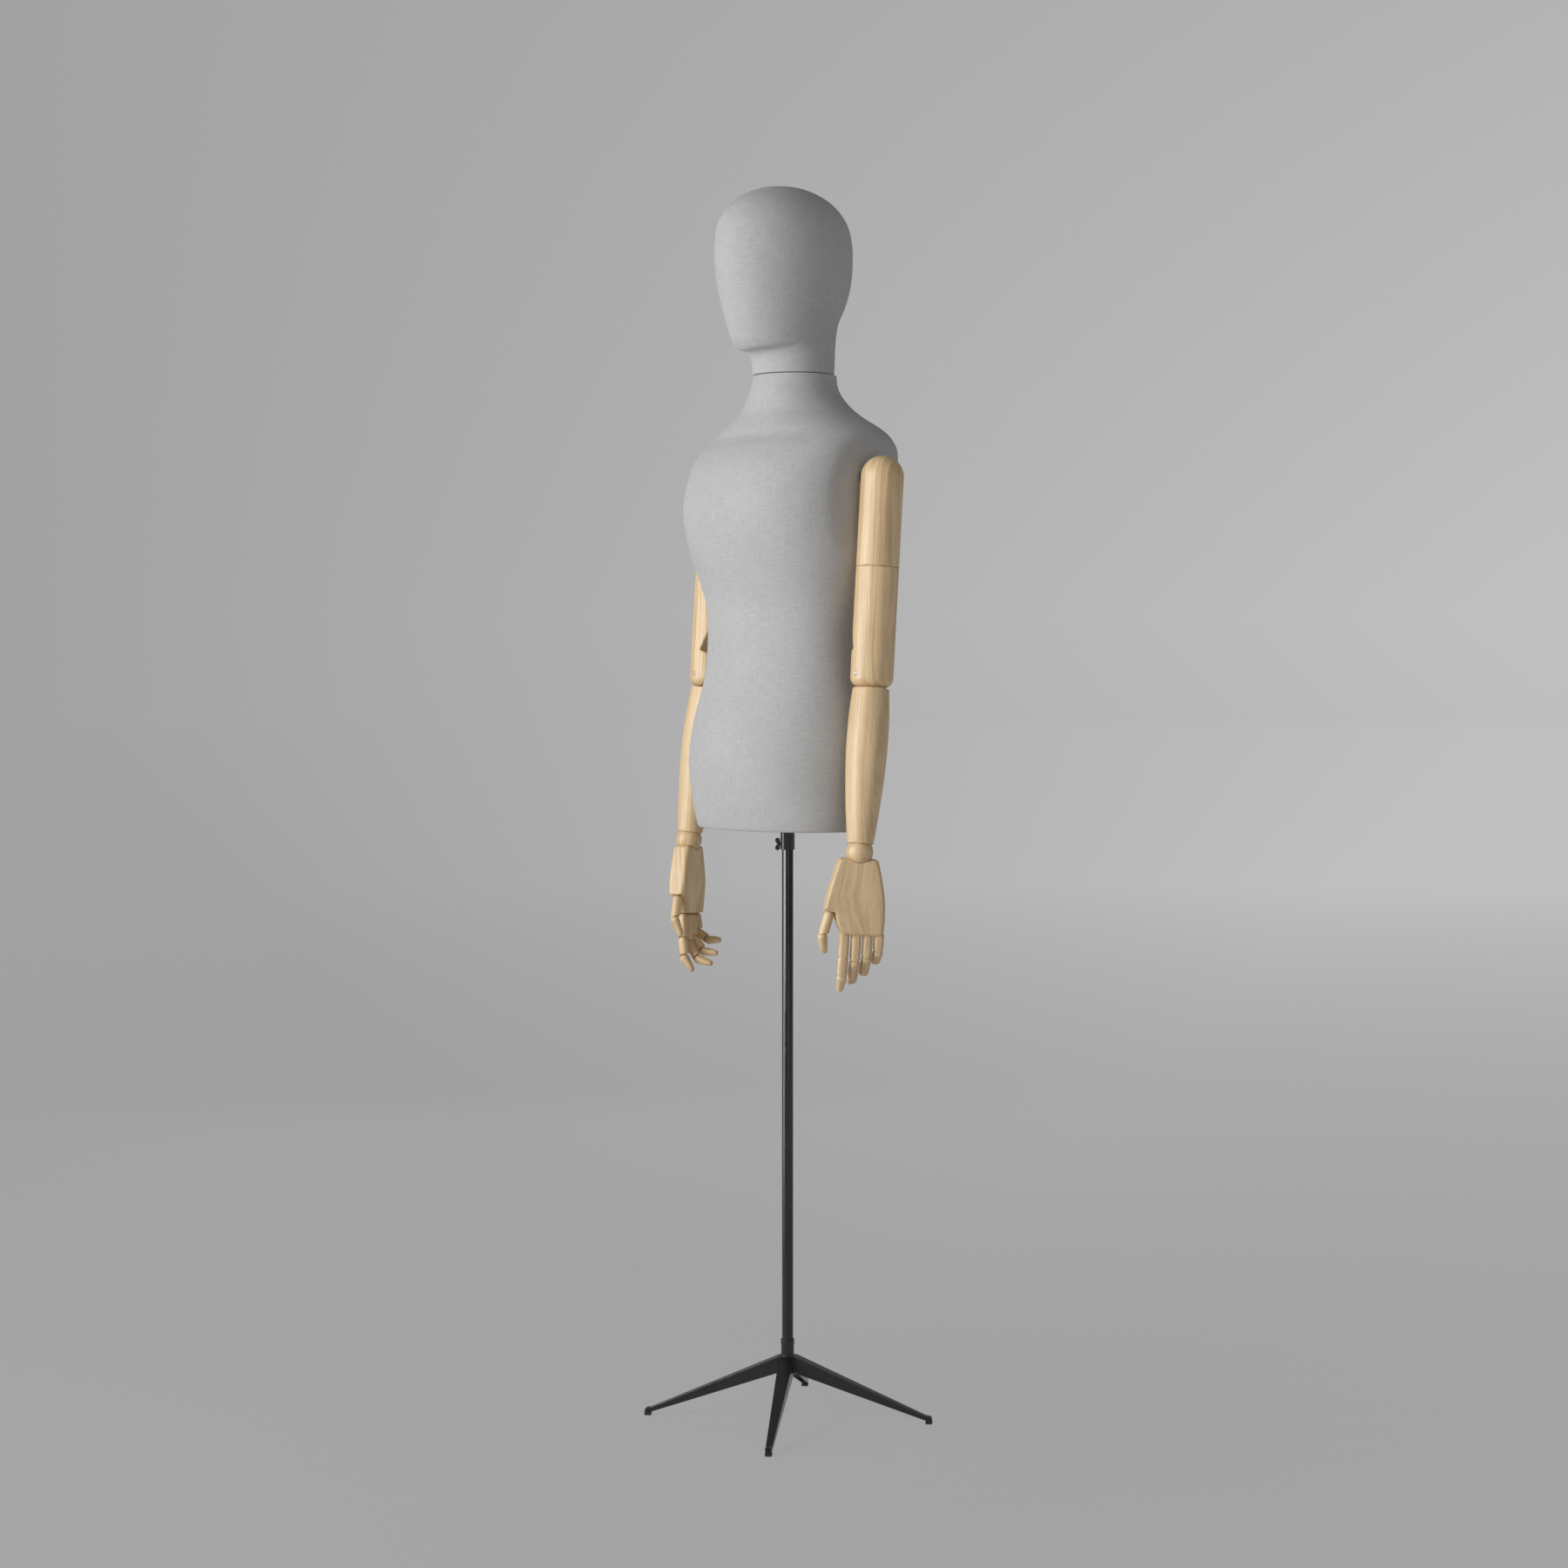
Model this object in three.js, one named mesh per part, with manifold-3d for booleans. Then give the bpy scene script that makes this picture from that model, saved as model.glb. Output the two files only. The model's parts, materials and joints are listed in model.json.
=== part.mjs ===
// A fabric-covered display mannequin: torso and faceless head on a steel stand,
// with jointed wooden arms, wrists and fingers.
// Millimetres, +Z up. The front of the body faces -Y and its left arm is at +X.
// The origin is on the floor, on the axis of the post.
import * as THREE from "three";
import { mergeVertices } from "three/addons/utils/BufferGeometryUtils.js";
import Module from "manifold-3d";

const wasm = await Module();
wasm.setup();

// ---------------------------------------------------------------- driving dimensions

const GAP = 0.35; // clearance between pieces that touch on the real object
const ROUND = 24; // sides of a large turned piece
const SMALL_ROUND = 16; // sides of a small turned piece

// Stand
const POST_RADIUS = 8;
const POST_BORE = 6.5;
const POST_TOP = 1150;
const COLLAR_RADIUS = 10.2;
const COLLAR_BOTTOM = 818;
const COLLAR_TOP = 930;
const FLANGE_RADIUS = 32;
const FLANGE_THICKNESS = 3.5;
const HUB_HALF = 12.25; // half the width of the square hub block
const HUB_BOTTOM = 66;
const HUB_TOP = 92;
const SOCKET_TOP = 116.7;
const SOCKET_RADIUS = 9.25;
const SOCKET_RIM = 8;
const FOOT_RADIUS = 203; // from the post's axis to the middle of a foot
const FOOT_SIZE = 9.4;
const GLIDE_HEIGHT = 5;
const LEG_TIP_HEIGHT = 11.3;
const LEG_ROOT_HALF = 11;
const LEG_ROOT_BOTTOM = 69;
const LEG_WALL = 2;
const LEG_ANGLES = [45, 135, 225, 315];
const LEG_NAMES = ["rear_left", "rear_right", "front_right", "front_left"];

// Torso
const TORSO_BOTTOM = 849;
const NECK_SEAM = 1490;
const SHELL_WALL = 5;
const SIDE_PLATE = 155; // half the distance between the flat armholes
const SIDE_PLATE_BOTTOM = 1180;
const BOARD_THICKNESS = 12;
const BOARD_RISE = 1.5; // from the shell's edge to the board's underside
const NECK_CAP_RADIUS = 53.3;
const NECK_CAP_BOTTOM = NECK_SEAM - 12;
const SCREW_RADIUS = 2.2;
const SCREW_HEIGHT = 826;
const SCREW_HEADING = 232.43; // the way the wing screw points, from +X
const NECK_AXIS_BACK = 10.2;
const NECK_CAP_BACK = 12.9;
const PEG_RADIUS = 12;
const PEG_TOP = NECK_SEAM + 50;

// Arms, given for the left one
const SHOULDER = new THREE.Vector3(188, 19, 1337.5);
const ELBOW = new THREE.Vector3(188, 1, 1067.5);
const WRIST = new THREE.Vector3(199, -29.5, 825);
const ARM_RADIUS = 29.5;
const MOUNT_PEG_RADIUS = 6;
const MOUNT_THICKNESS = 2.6;
const MOUNT_RADIUS = 14;
const ARM_SEAM_DROP = 123.8; // from the shoulder's centre to the twisting seam
const ELBOW_END_DROP = 18.5; // upper arm left below the elbow pin
const ELBOW_CORNER = 13;
const ELBOW_BLOCK_RADIUS = 35;
const NOTCH_DEPTH = 20.2;
const NOTCH_TOP = 88; // above the elbow pin
const DOWEL_RADIUS = 8;
const DOWEL_LENGTH = 38;
const RIM_DROP = 20; // from the elbow pin to the forearm's flat top
const TONGUE_HALF = 9;
const TONGUE_RADIUS = 20;
const PIN_RADIUS = 2.5;
const FOREARM_END_GAP = 11; // from the wrist's centre to the forearm's end
const BALL_RADIUS = 18.7;

// Hands
const HAND_TURN = 30.4; // from straight out to the side towards the front
const HAND_LEAN = 3; // fingertips towards the thumb side
const PALM_TOP = -9;
const PALM_THICKNESS = 27;
const KNUCKLE_LINE = -114.6;
const FINGER_WIDTH = 12.8;
const FINGER_HALF = 6.3; // half the thickness, and the radius of a knuckle
const FINGERS = [
  { name: "index", side: -15, lengths: [34, 26, 23], curls: [0, 8, 28] },
  { name: "middle", side: 1.5, lengths: [39, 28, 23], curls: [3, 34, 38] },
  { name: "ring", side: 17.5, lengths: [32.5, 25, 22], curls: [5, 40, 40] },
  { name: "little", side: 33, lengths: [24, 20, 19], curls: [10, 50, 32] },
];
const THUMB_BASE = new THREE.Vector3(0, -38, -88);
const THUMB_LENGTHS = [31, 25];
const THUMB_SPREAD = 13;
const THUMB_TURN = -50;
const THUMB_CURL = 32;

// Horizontal sections of the torso: height, half width, half depth,
// how far the middle lies in front of the post, and fullness of the corners.
const TORSO_SECTIONS = [
  [849, 148.5, 103.5, 3, 2.2],
  [866, 151.5, 107.5, 3.5, 2.2],
  [900, 154, 114.5, 4, 2.2],
  [944, 155, 121.5, 3, 2.2],
  [1000, 150, 116, 1, 2.2],
  [1060, 139, 100, 0, 2.2],
  [1125, 134, 94, 0, 2.2],
  [1165, 137, 95, 0, 2.2],
  [1200, 147, 105, 0, 2.2],
  [1235, 157, 114, 2, 2.25],
  [1270, 159.5, 121, 4, 2.3],
  [1305, 160.8, 123.5, 3, 2.4],
  [1335, 160.5, 122.5, -3, 2.45],
  [1361, 160, 120, -11, 2.5],
  [1385, 158, 109, -17.5, 2.5],
  [1400, 151, 97, -20.5, 2.4],
  [1412, 136, 90, -19.5, 2.3],
  [1424, 116, 81, -17, 2.2],
  [1437, 95, 73, -16, 2.1],
  [1451, 78, 67.5, -14, 2.05],
  [1467, 65.5, 63, -12, 2],
  [1478, 60.8, 60.2, -12.4, 2],
  [1489.4, 59.4, 59.4, -12.9, 2],
];

// The same for the head and the neck that carries it.
const HEAD_SECTIONS = [
  [1490.4, 57.6, 57.6, -10.2, 2],
  [1508, 58, 60, -9.9, 2],
  [1516, 59.5, 62.5, -8, 2],
  [1520, 60, 65, -6.5, 2],
  [1525, 61, 74, -0.5, 2],
  [1533, 62, 78.5, 3.1, 2],
  [1553, 65.5, 85.5, 6, 2],
  [1580, 71, 93.5, 7, 2],
  [1616, 78, 103, 6.5, 2],
  [1656, 81, 106.5, 6.7, 2],
  [1680, 80, 105, 6.8, 2],
  [1701, 76.5, 100, 8, 2],
  [1718, 68.5, 89.5, 8.8, 2],
  [1731, 58, 76, 9, 2],
  [1742, 43.5, 57, 9.1, 2],
  [1750, 26, 34, 9.4, 2],
  [1753.5, 11, 14, 9.5, 2],
];
const JAW_SLOPE = 0.2; // how fast the jaw line climbs towards the back
const JAW_HEIGHT = 1522;
const JAW_FRONT = 60; // the jaw keeps its section height this far in front
const JAW_FADE_BELOW = 30;
const JAW_FADE_ABOVE = 75;

// ------------------------------------------------------------------------- materials

const COLOURS = {
  linen: 0xb9b9b9,
  beech: 0xdebe91,
  blackMetal: 0x202022,
  steel: 0xb8b8b8,
  rubber: 0x101010,
  plastic: 0x18181a,
};

function material(colour, roughness, metalness) {
  return new THREE.MeshStandardMaterial({ color: colour, roughness, metalness });
}

const linen = () => material(COLOURS.linen, 0.95, 0);
const beech = () => material(COLOURS.beech, 0.5, 0);
const blackMetal = () => material(COLOURS.blackMetal, 0.4, 0.9);
const steel = () => material(COLOURS.steel, 0.3, 1);
const rubber = () => material(COLOURS.rubber, 0.85, 0);
const plastic = () => material(COLOURS.plastic, 0.6, 0);

// ------------------------------------------------------------------- geometry helpers

const X_AXIS = new THREE.Vector3(1, 0, 0);
const Y_AXIS = new THREE.Vector3(0, 1, 0);
const Z_AXIS = new THREE.Vector3(0, 0, 1);
const rad = THREE.MathUtils.degToRad;

// Turns a shape drawn in XY and extruded along Z so that it is drawn in YZ instead.
const drawnFromSide = new THREE.Matrix4().makeBasis(Y_AXIS, Z_AXIS, X_AXIS);

// Turns it so that it is drawn in XZ and runs along -Y.
const drawnFromFront = new THREE.Matrix4().makeRotationX(Math.PI / 2);

function solid(geometry) {
  const bare = geometry.clone();
  bare.deleteAttribute("normal");
  bare.deleteAttribute("uv");
  const merged = mergeVertices(bare, 1e-4);
  const mesh = new wasm.Mesh({
    numProp: 3,
    vertProperties: new Float32Array(merged.attributes.position.array),
    triVerts: new Uint32Array(merged.index.array),
  });
  return new wasm.Manifold(mesh);
}

function geometryOf(body) {
  const mesh = body.getMesh();
  const geometry = new THREE.BufferGeometry();
  geometry.setAttribute("position", new THREE.BufferAttribute(mesh.vertProperties, 3));
  geometry.setIndex(new THREE.BufferAttribute(mesh.triVerts, 1));
  return geometry;
}

function cut(body, ...tools) {
  return tools.reduce((left, tool) => left.subtract(solid(tool)), solid(body));
}

function piece(name, shape, finish) {
  const geometry = shape.isBufferGeometry ? shape : geometryOf(shape);
  const mesh = new THREE.Mesh(geometry, finish);
  mesh.name = name;
  return mesh;
}

// A closed body through rings of equally many points, each ring going
// anticlockwise seen from where the rings run to.
function loft(rings) {
  const count = rings[0].length;
  const points = rings.flat();
  const faces = [];
  for (let r = 0; r < rings.length - 1; r++) {
    for (let i = 0; i < count; i++) {
      const a = r * count + i;
      const b = r * count + ((i + 1) % count);
      faces.push(a, b, a + count, b, b + count, a + count);
    }
  }
  const last = (rings.length - 1) * count;
  const startMiddle = points.length;
  const endMiddle = startMiddle + 1;
  points.push(middle(rings[0]), middle(rings[rings.length - 1]));
  for (let i = 0; i < count; i++) {
    const next = (i + 1) % count;
    faces.push(startMiddle, next, i);
    faces.push(endMiddle, last + i, last + next);
  }
  const geometry = new THREE.BufferGeometry().setFromPoints(points);
  geometry.setIndex(faces);
  return geometry;
}

function middle(ring) {
  const sum = new THREE.Vector3();
  ring.forEach((point) => sum.add(point));
  return sum.divideScalar(ring.length);
}

// One superellipse ring of a body; inset shrinks it by a wall's thickness.
function bodyRing([height, halfWidth, halfDepth, forward, fullness], sides, inset = 0) {
  const ring = [];
  for (let i = 0; i < sides; i++) {
    const angle = (2 * Math.PI * i) / sides;
    const across = Math.cos(angle);
    const along = Math.sin(angle);
    const x = (halfWidth - inset) * Math.sign(across) * Math.abs(across) ** (2 / fullness);
    const y = (halfDepth - inset) * Math.sign(along) * Math.abs(along) ** (2 / fullness);
    ring.push(new THREE.Vector3(x, y - forward, height));
  }
  return ring;
}

function box(x0, x1, y0, y1, z0, z1) {
  const geometry = new THREE.BoxGeometry(x1 - x0, y1 - y0, z1 - z0);
  return geometry.translate((x0 + x1) / 2, (y0 + y1) / 2, (z0 + z1) / 2);
}

// A cylinder along Z from one height to another.
function rod(radius, z0, z1, sides = SMALL_ROUND) {
  const geometry = new THREE.CylinderGeometry(radius, radius, z1 - z0, sides);
  return geometry.rotateX(Math.PI / 2).translate(0, 0, (z0 + z1) / 2);
}

function rodAlongX(radius, x0, x1, sides = SMALL_ROUND) {
  return rod(radius, x0, x1, sides).rotateY(Math.PI / 2);
}

function rodAlongY(radius, y0, y1, sides = SMALL_ROUND) {
  return rod(radius, -y1, -y0, sides).rotateX(Math.PI / 2);
}

// A turned body along Z from radius and height pairs that start and end on the axis.
function turned(profile, sides = ROUND) {
  const points = profile.map(([radius, height]) => new THREE.Vector2(radius, height));
  return new THREE.LatheGeometry(points, sides).rotateX(Math.PI / 2);
}

function shapeOf(points) {
  return new THREE.Shape(points.map(([x, y]) => new THREE.Vector2(x, y)));
}

// A plate drawn in XZ, centred on Y.
function plateAlongY(shape, halfThickness, curveSegments = 12) {
  const geometry = new THREE.ExtrudeGeometry(shape, {
    depth: 2 * halfThickness,
    bevelEnabled: false,
    curveSegments,
  });
  return geometry.translate(0, 0, -halfThickness).applyMatrix4(drawnFromFront);
}

// ------------------------------------------------------------------------------ stand

function baseHub() {
  const block = box(-HUB_HALF, HUB_HALF, -HUB_HALF, HUB_HALF, HUB_BOTTOM, HUB_TOP);
  block.rotateZ(rad(LEG_ANGLES[0]));
  const rimBottom = SOCKET_TOP - SOCKET_RIM;
  const socket = turned([
    [0, HUB_TOP - 1],
    [SOCKET_RADIUS, HUB_TOP - 1],
    [SOCKET_RADIUS, rimBottom],
    [SOCKET_RADIUS + 0.6, rimBottom + 0.6],
    [SOCKET_RADIUS + 0.6, SOCKET_TOP - 0.6],
    [SOCKET_RADIUS, SOCKET_TOP],
    [0, SOCKET_TOP],
  ]);
  const bore = rod(POST_RADIUS + GAP, HUB_BOTTOM + 4, SOCKET_TOP + 1, ROUND);
  return piece("base_hub", solid(block).add(solid(socket)).subtract(solid(bore)), blackMetal());
}

// A rectangular ring across a leg that runs along +X.
function legRing(x, halfWidth, bottom, top) {
  return [
    new THREE.Vector3(x, -halfWidth, bottom),
    new THREE.Vector3(x, halfWidth, bottom),
    new THREE.Vector3(x, halfWidth, top),
    new THREE.Vector3(x, -halfWidth, top),
  ];
}

// A leg is a tapered steel channel, open below, with a closed foot at its tip.
function leg(name, angle) {
  const start = HUB_HALF + GAP;
  const footInner = FOOT_RADIUS - FOOT_SIZE / 2;
  const footOuter = FOOT_RADIUS + FOOT_SIZE / 2;
  const footHalf = FOOT_SIZE / 2;
  const footBottom = GLIDE_HEIGHT + GAP;
  const outside = loft([
    legRing(start, LEG_ROOT_HALF, LEG_ROOT_BOTTOM, HUB_TOP),
    legRing(footInner, footHalf, footBottom, LEG_TIP_HEIGHT + 0.5),
    legRing(FOOT_RADIUS + 2, footHalf, footBottom, LEG_TIP_HEIGHT - 0.4),
    legRing(footOuter - 0.6, footHalf - 0.4, footBottom, LEG_TIP_HEIGHT - 2.4),
    legRing(footOuter, footHalf - 1, footBottom, LEG_TIP_HEIGHT - 4),
  ]);
  const reach = footInner - LEG_WALL;
  const inside = loft([
    legRing(start + LEG_WALL, LEG_ROOT_HALF - LEG_WALL, HUB_BOTTOM - 30, HUB_TOP - LEG_WALL),
    legRing(reach, footHalf - LEG_WALL, -20, LEG_TIP_HEIGHT - LEG_WALL),
  ]);
  const mesh = piece(`leg_${name}`, cut(outside, inside), blackMetal());
  mesh.rotation.z = rad(angle);
  return mesh;
}

function footGlide(name, angle) {
  const edge = 0.8;
  const half = FOOT_SIZE / 2;
  const outline = shapeOf([
    [-half, -half],
    [half, -half],
    [half, half],
    [-half, half],
  ]);
  const pad = new THREE.ExtrudeGeometry(outline, {
    depth: GLIDE_HEIGHT - 2 * edge,
    bevelThickness: edge,
    bevelSize: edge,
    bevelOffset: -edge,
    bevelSegments: 1,
  });
  pad.translate(FOOT_RADIUS, 0, edge);
  const mesh = piece(`foot_glide_${name}`, geometryOf(solid(pad)), rubber());
  mesh.rotation.z = rad(angle);
  return mesh;
}

function post() {
  const bottom = HUB_BOTTOM + 4 + GAP;
  const tube = cut(
    rod(POST_RADIUS, bottom, POST_TOP, ROUND),
    rod(POST_BORE, bottom - 1, POST_TOP + 1, SMALL_ROUND),
  );
  return piece("post", tube, blackMetal());
}

function postCap() {
  const stem = POST_BORE - 0.6;
  const cap = turned(
    [
      [0, POST_TOP - 12],
      [stem, POST_TOP - 12],
      [stem, POST_TOP + GAP],
      [POST_RADIUS, POST_TOP + GAP],
      [POST_RADIUS, POST_TOP + 2.5],
      [POST_RADIUS - 1, POST_TOP + 3.5],
      [0, POST_TOP + 3.5],
    ],
    SMALL_ROUND,
  );
  return piece("post_cap", cap, plastic());
}

// The sleeve that slides on the post, with the flange that carries the torso.
function clampCollar() {
  const edge = 0.6;
  const flangeBottom = TORSO_BOTTOM + BOARD_RISE + BOARD_THICKNESS + GAP;
  const sleeve = turned([
    [0, COLLAR_BOTTOM],
    [COLLAR_RADIUS - edge, COLLAR_BOTTOM],
    [COLLAR_RADIUS, COLLAR_BOTTOM + edge],
    [COLLAR_RADIUS, flangeBottom],
    [FLANGE_RADIUS, flangeBottom],
    [FLANGE_RADIUS, flangeBottom + FLANGE_THICKNESS],
    [COLLAR_RADIUS, flangeBottom + FLANGE_THICKNESS],
    [COLLAR_RADIUS, COLLAR_TOP],
    [0, COLLAR_TOP],
  ]);
  const bore = rod(POST_RADIUS + GAP, COLLAR_BOTTOM - 1, COLLAR_TOP + 1, ROUND);
  const screwHole = rodAlongX(SCREW_RADIUS + GAP, POST_RADIUS / 2, COLLAR_RADIUS + 4, 12);
  screwHole.rotateZ(rad(SCREW_HEADING)).translate(0, 0, SCREW_HEIGHT);
  return piece("clamp_collar", cut(sleeve, bore, screwHole), blackMetal());
}

function wingScrew() {
  const lobe = 3.25;
  const spread = 5.6;
  const reach = 14.7; // from the post's axis to the middle of the lobes
  const half = 1.3;
  const shank = rodAlongX(SCREW_RADIUS, POST_RADIUS + GAP, reach, 10);
  const hub = rodAlongX(1.5 * SCREW_RADIUS, COLLAR_RADIUS + GAP, reach, 12);
  const web = box(reach - 2, reach + 1.4, -half, half, -spread, spread);
  const screw = [-spread, spread].reduce(
    (body, height) => body.add(solid(rodAlongY(lobe, -half, half, 12).translate(reach, 0, height))),
    solid(shank).add(solid(hub)).add(solid(web)),
  );
  const mesh = piece("wing_screw", screw, blackMetal());
  mesh.position.z = SCREW_HEIGHT;
  mesh.rotation.z = rad(SCREW_HEADING);
  return mesh;
}

// ---------------------------------------------------------------------- torso and head

const TORSO_SIDES = 32;
const SHELL_INNER_SIDES = 20;

function torsoShell() {
  const outer = loft(TORSO_SECTIONS.map((section) => bodyRing(section, TORSO_SIDES)));
  const innerRings = TORSO_SECTIONS.map((section) => bodyRing(section, SHELL_INNER_SIDES, SHELL_WALL));
  const first = innerRings[0].map((point) => point.clone().setZ(TORSO_BOTTOM - 1));
  const final = innerRings[innerRings.length - 1].map((point) => point.clone().setZ(NECK_SEAM + 1));
  const inner = loft([first, ...innerRings, final]);
  const pegHoles = rodAlongX(MOUNT_PEG_RADIUS + GAP, -SIDE_PLATE - 1, SIDE_PLATE + 1);
  pegHoles.translate(0, SHOULDER.y, SHOULDER.z);
  const core = cut(inner, ...besideArmholes(SIDE_PLATE - SHELL_WALL));
  const shell = cut(outer, ...besideArmholes(SIDE_PLATE)).subtract(core).subtract(solid(pegHoles));
  return piece("torso_shell", shell, linen());
}

// What is cut off beside the chest to leave flat armholes.
function besideArmholes(half) {
  const far = 300;
  return [
    box(half, far, -far, far, SIDE_PLATE_BOTTOM, NECK_SEAM),
    box(-far, -half, -far, far, SIDE_PLATE_BOTTOM, NECK_SEAM),
  ];
}

function bottomBoard() {
  const [, halfWidth, halfDepth, forward, fullness] = TORSO_SECTIONS[0];
  const floor = TORSO_BOTTOM + BOARD_RISE;
  const section = (height) => [height, halfWidth, halfDepth, forward, fullness];
  const inset = SHELL_WALL + 1.2;
  const board = loft([
    bodyRing(section(floor), SHELL_INNER_SIDES, inset),
    bodyRing(section(floor + BOARD_THICKNESS), SHELL_INNER_SIDES, inset),
  ]);
  const hole = rod(COLLAR_RADIUS + 0.5, floor - 1, floor + BOARD_THICKNESS + 1, ROUND);
  return piece("bottom_board", cut(board, hole), beech());
}

function neckCap() {
  const disc = rod(NECK_CAP_RADIUS, NECK_CAP_BOTTOM, NECK_SEAM - 1, ROUND);
  const hole = rod(PEG_RADIUS + GAP, NECK_CAP_BOTTOM - 1, NECK_SEAM, ROUND);
  disc.translate(0, NECK_CAP_BACK, 0);
  hole.translate(0, NECK_AXIS_BACK, 0);
  return piece("neck_cap", cut(disc, hole), beech());
}

// The peg is held by a head under the cap and stands up inside the neck.
function neckPeg() {
  const under = NECK_CAP_BOTTOM - GAP;
  const headRadius = PEG_RADIUS + 7;
  const peg = turned([
    [0, under - 8],
    [headRadius, under - 8],
    [headRadius, under],
    [PEG_RADIUS, under],
    [PEG_RADIUS, PEG_TOP - 2],
    [PEG_RADIUS - 2, PEG_TOP],
    [0, PEG_TOP],
  ]);
  return piece("neck_peg", peg.translate(0, NECK_AXIS_BACK, 0), beech());
}

// How much of the jaw's slope applies at a height: all of it at the jaw line.
function jawShare(height) {
  const below = height < JAW_HEIGHT;
  const fade = below ? JAW_FADE_BELOW : JAW_FADE_ABOVE;
  const away = Math.min(1, Math.abs(height - JAW_HEIGHT) / fade);
  return 1 - THREE.MathUtils.smoothstep(away, 0, 1);
}

function head() {
  const rings = HEAD_SECTIONS.map((section) => {
    const ring = bodyRing(section, 32);
    const share = jawShare(section[0]);
    ring.forEach((point) => {
      point.z += share * JAW_SLOPE * (JAW_FRONT + point.y);
    });
    return ring;
  });
  const bore = rod(PEG_RADIUS + GAP, NECK_SEAM - 1, PEG_TOP + 4, ROUND);
  return piece("head", cut(loft(rings), bore.translate(0, NECK_AXIS_BACK, 0)), linen());
}

// ------------------------------------------------------------------------------- arms

// The mount is bolted to the armhole plate; its peg carries the arm and is its pivot.
function shoulderMount() {
  const plate = SIDE_PLATE;
  const innerFace = plate - SHELL_WALL - GAP;
  const outerFace = plate + MOUNT_THICKNESS;
  const tip = SHOULDER.x - 6;
  const profile = [
    [0, plate - 10],
    [12, plate - 10],
    [12, innerFace],
    [MOUNT_PEG_RADIUS, innerFace],
    [MOUNT_PEG_RADIUS, plate + GAP],
    [MOUNT_RADIUS, plate + GAP],
    [MOUNT_RADIUS, outerFace],
    [DOWEL_RADIUS, outerFace],
    [DOWEL_RADIUS, tip],
    [0, tip],
  ];
  return turned(profile, SMALL_ROUND).rotateY(Math.PI / 2).translate(0, SHOULDER.y, SHOULDER.z);
}

function arc(radius, from, to, steps, centreX = 0, centreY = 0) {
  const points = [];
  for (let i = 0; i <= steps; i++) {
    const angle = rad(from + ((to - from) * i) / steps);
    points.push([centreX + radius * Math.cos(angle), centreY + radius * Math.sin(angle)]);
  }
  return points;
}

function upperArmTop() {
  const seam = -ARM_SEAM_DROP + GAP;
  const body = turned([
    [0, seam - DOWEL_LENGTH],
    [DOWEL_RADIUS, seam - DOWEL_LENGTH],
    [DOWEL_RADIUS, seam],
    [ARM_RADIUS - 0.4, seam],
    [ARM_RADIUS, seam + 0.5],
    ...arc(ARM_RADIUS, 0, 84, 6),
    [0, ARM_RADIUS],
  ]);
  return cut(body, rodAlongX(DOWEL_RADIUS + GAP, -ARM_RADIUS - 1, -6 + GAP));
}

// The pocket that lets the forearm's rim swing in, drawn with -X towards the body.
function rimPocket() {
  const reach = RIM_DROP - GAP;
  const outline = shapeOf([
    ...arc(reach, 270, 180, 6),
    [-reach, 40],
    [-60, 40],
    [-60, -60],
    [0, -60],
  ]);
  return plateAlongY(outline, 25.5);
}

// The sloping cut above the elbow, with a floor rounded about the pin.
function elbowNotch() {
  const deep = ARM_RADIUS - NOTCH_DEPTH;
  const floorAngle = 180 - THREE.MathUtils.radToDeg(Math.acos(deep / ELBOW_BLOCK_RADIUS));
  const outline = shapeOf([
    ...arc(ELBOW_BLOCK_RADIUS, floorAngle, 165, 6),
    [-60, 0],
    [-60, NOTCH_TOP],
    [-ARM_RADIUS, NOTCH_TOP],
  ]);
  return plateAlongY(outline, ARM_RADIUS + 5);
}

// The slot for the forearm's tongue: open below and towards the body. Its outer
// wall slopes, because the forearm hangs slightly away from the body.
function tongueSlot() {
  const reach = TONGUE_RADIUS + 0.5;
  const slope = 4;
  const outline = shapeOf([
    ...arc(reach, 0, 90, 5),
    [-60, reach],
    [-60, -60],
    [reach + slope, -60],
  ]);
  return plateAlongY(outline, TONGUE_HALF + GAP);
}

function upperArmBottom(armLength) {
  const seam = -ARM_SEAM_DROP;
  const end = -armLength - ELBOW_END_DROP;
  const corner = ELBOW_CORNER;
  const body = turned([
    [0, end],
    ...arc(corner, 270, 360, 5, ARM_RADIUS - corner, end + corner),
    [ARM_RADIUS, seam - 0.5],
    [ARM_RADIUS - 0.4, seam],
    [0, seam],
  ]);
  const cuts = [rimPocket(), elbowNotch(), tongueSlot()];
  cuts.push(rodAlongY(PIN_RADIUS + GAP, -40, 40, 12));
  cuts.forEach((tool) => tool.translate(0, 0, -armLength));
  const dowelHole = rod(DOWEL_RADIUS + GAP, seam - DOWEL_LENGTH - 2, seam + 1);
  return cut(body, ...cuts, dowelHole);
}

function elbowPin() {
  const half = ARM_RADIUS - 0.2;
  const pin = turned(
    [
      [0, -half],
      [PIN_RADIUS - 0.4, -half],
      [PIN_RADIUS, 0.4 - half],
      [PIN_RADIUS, half - 0.4],
      [PIN_RADIUS - 0.4, half],
      [0, half],
    ],
    12,
  );
  return pin.rotateX(Math.PI / 2);
}

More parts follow.
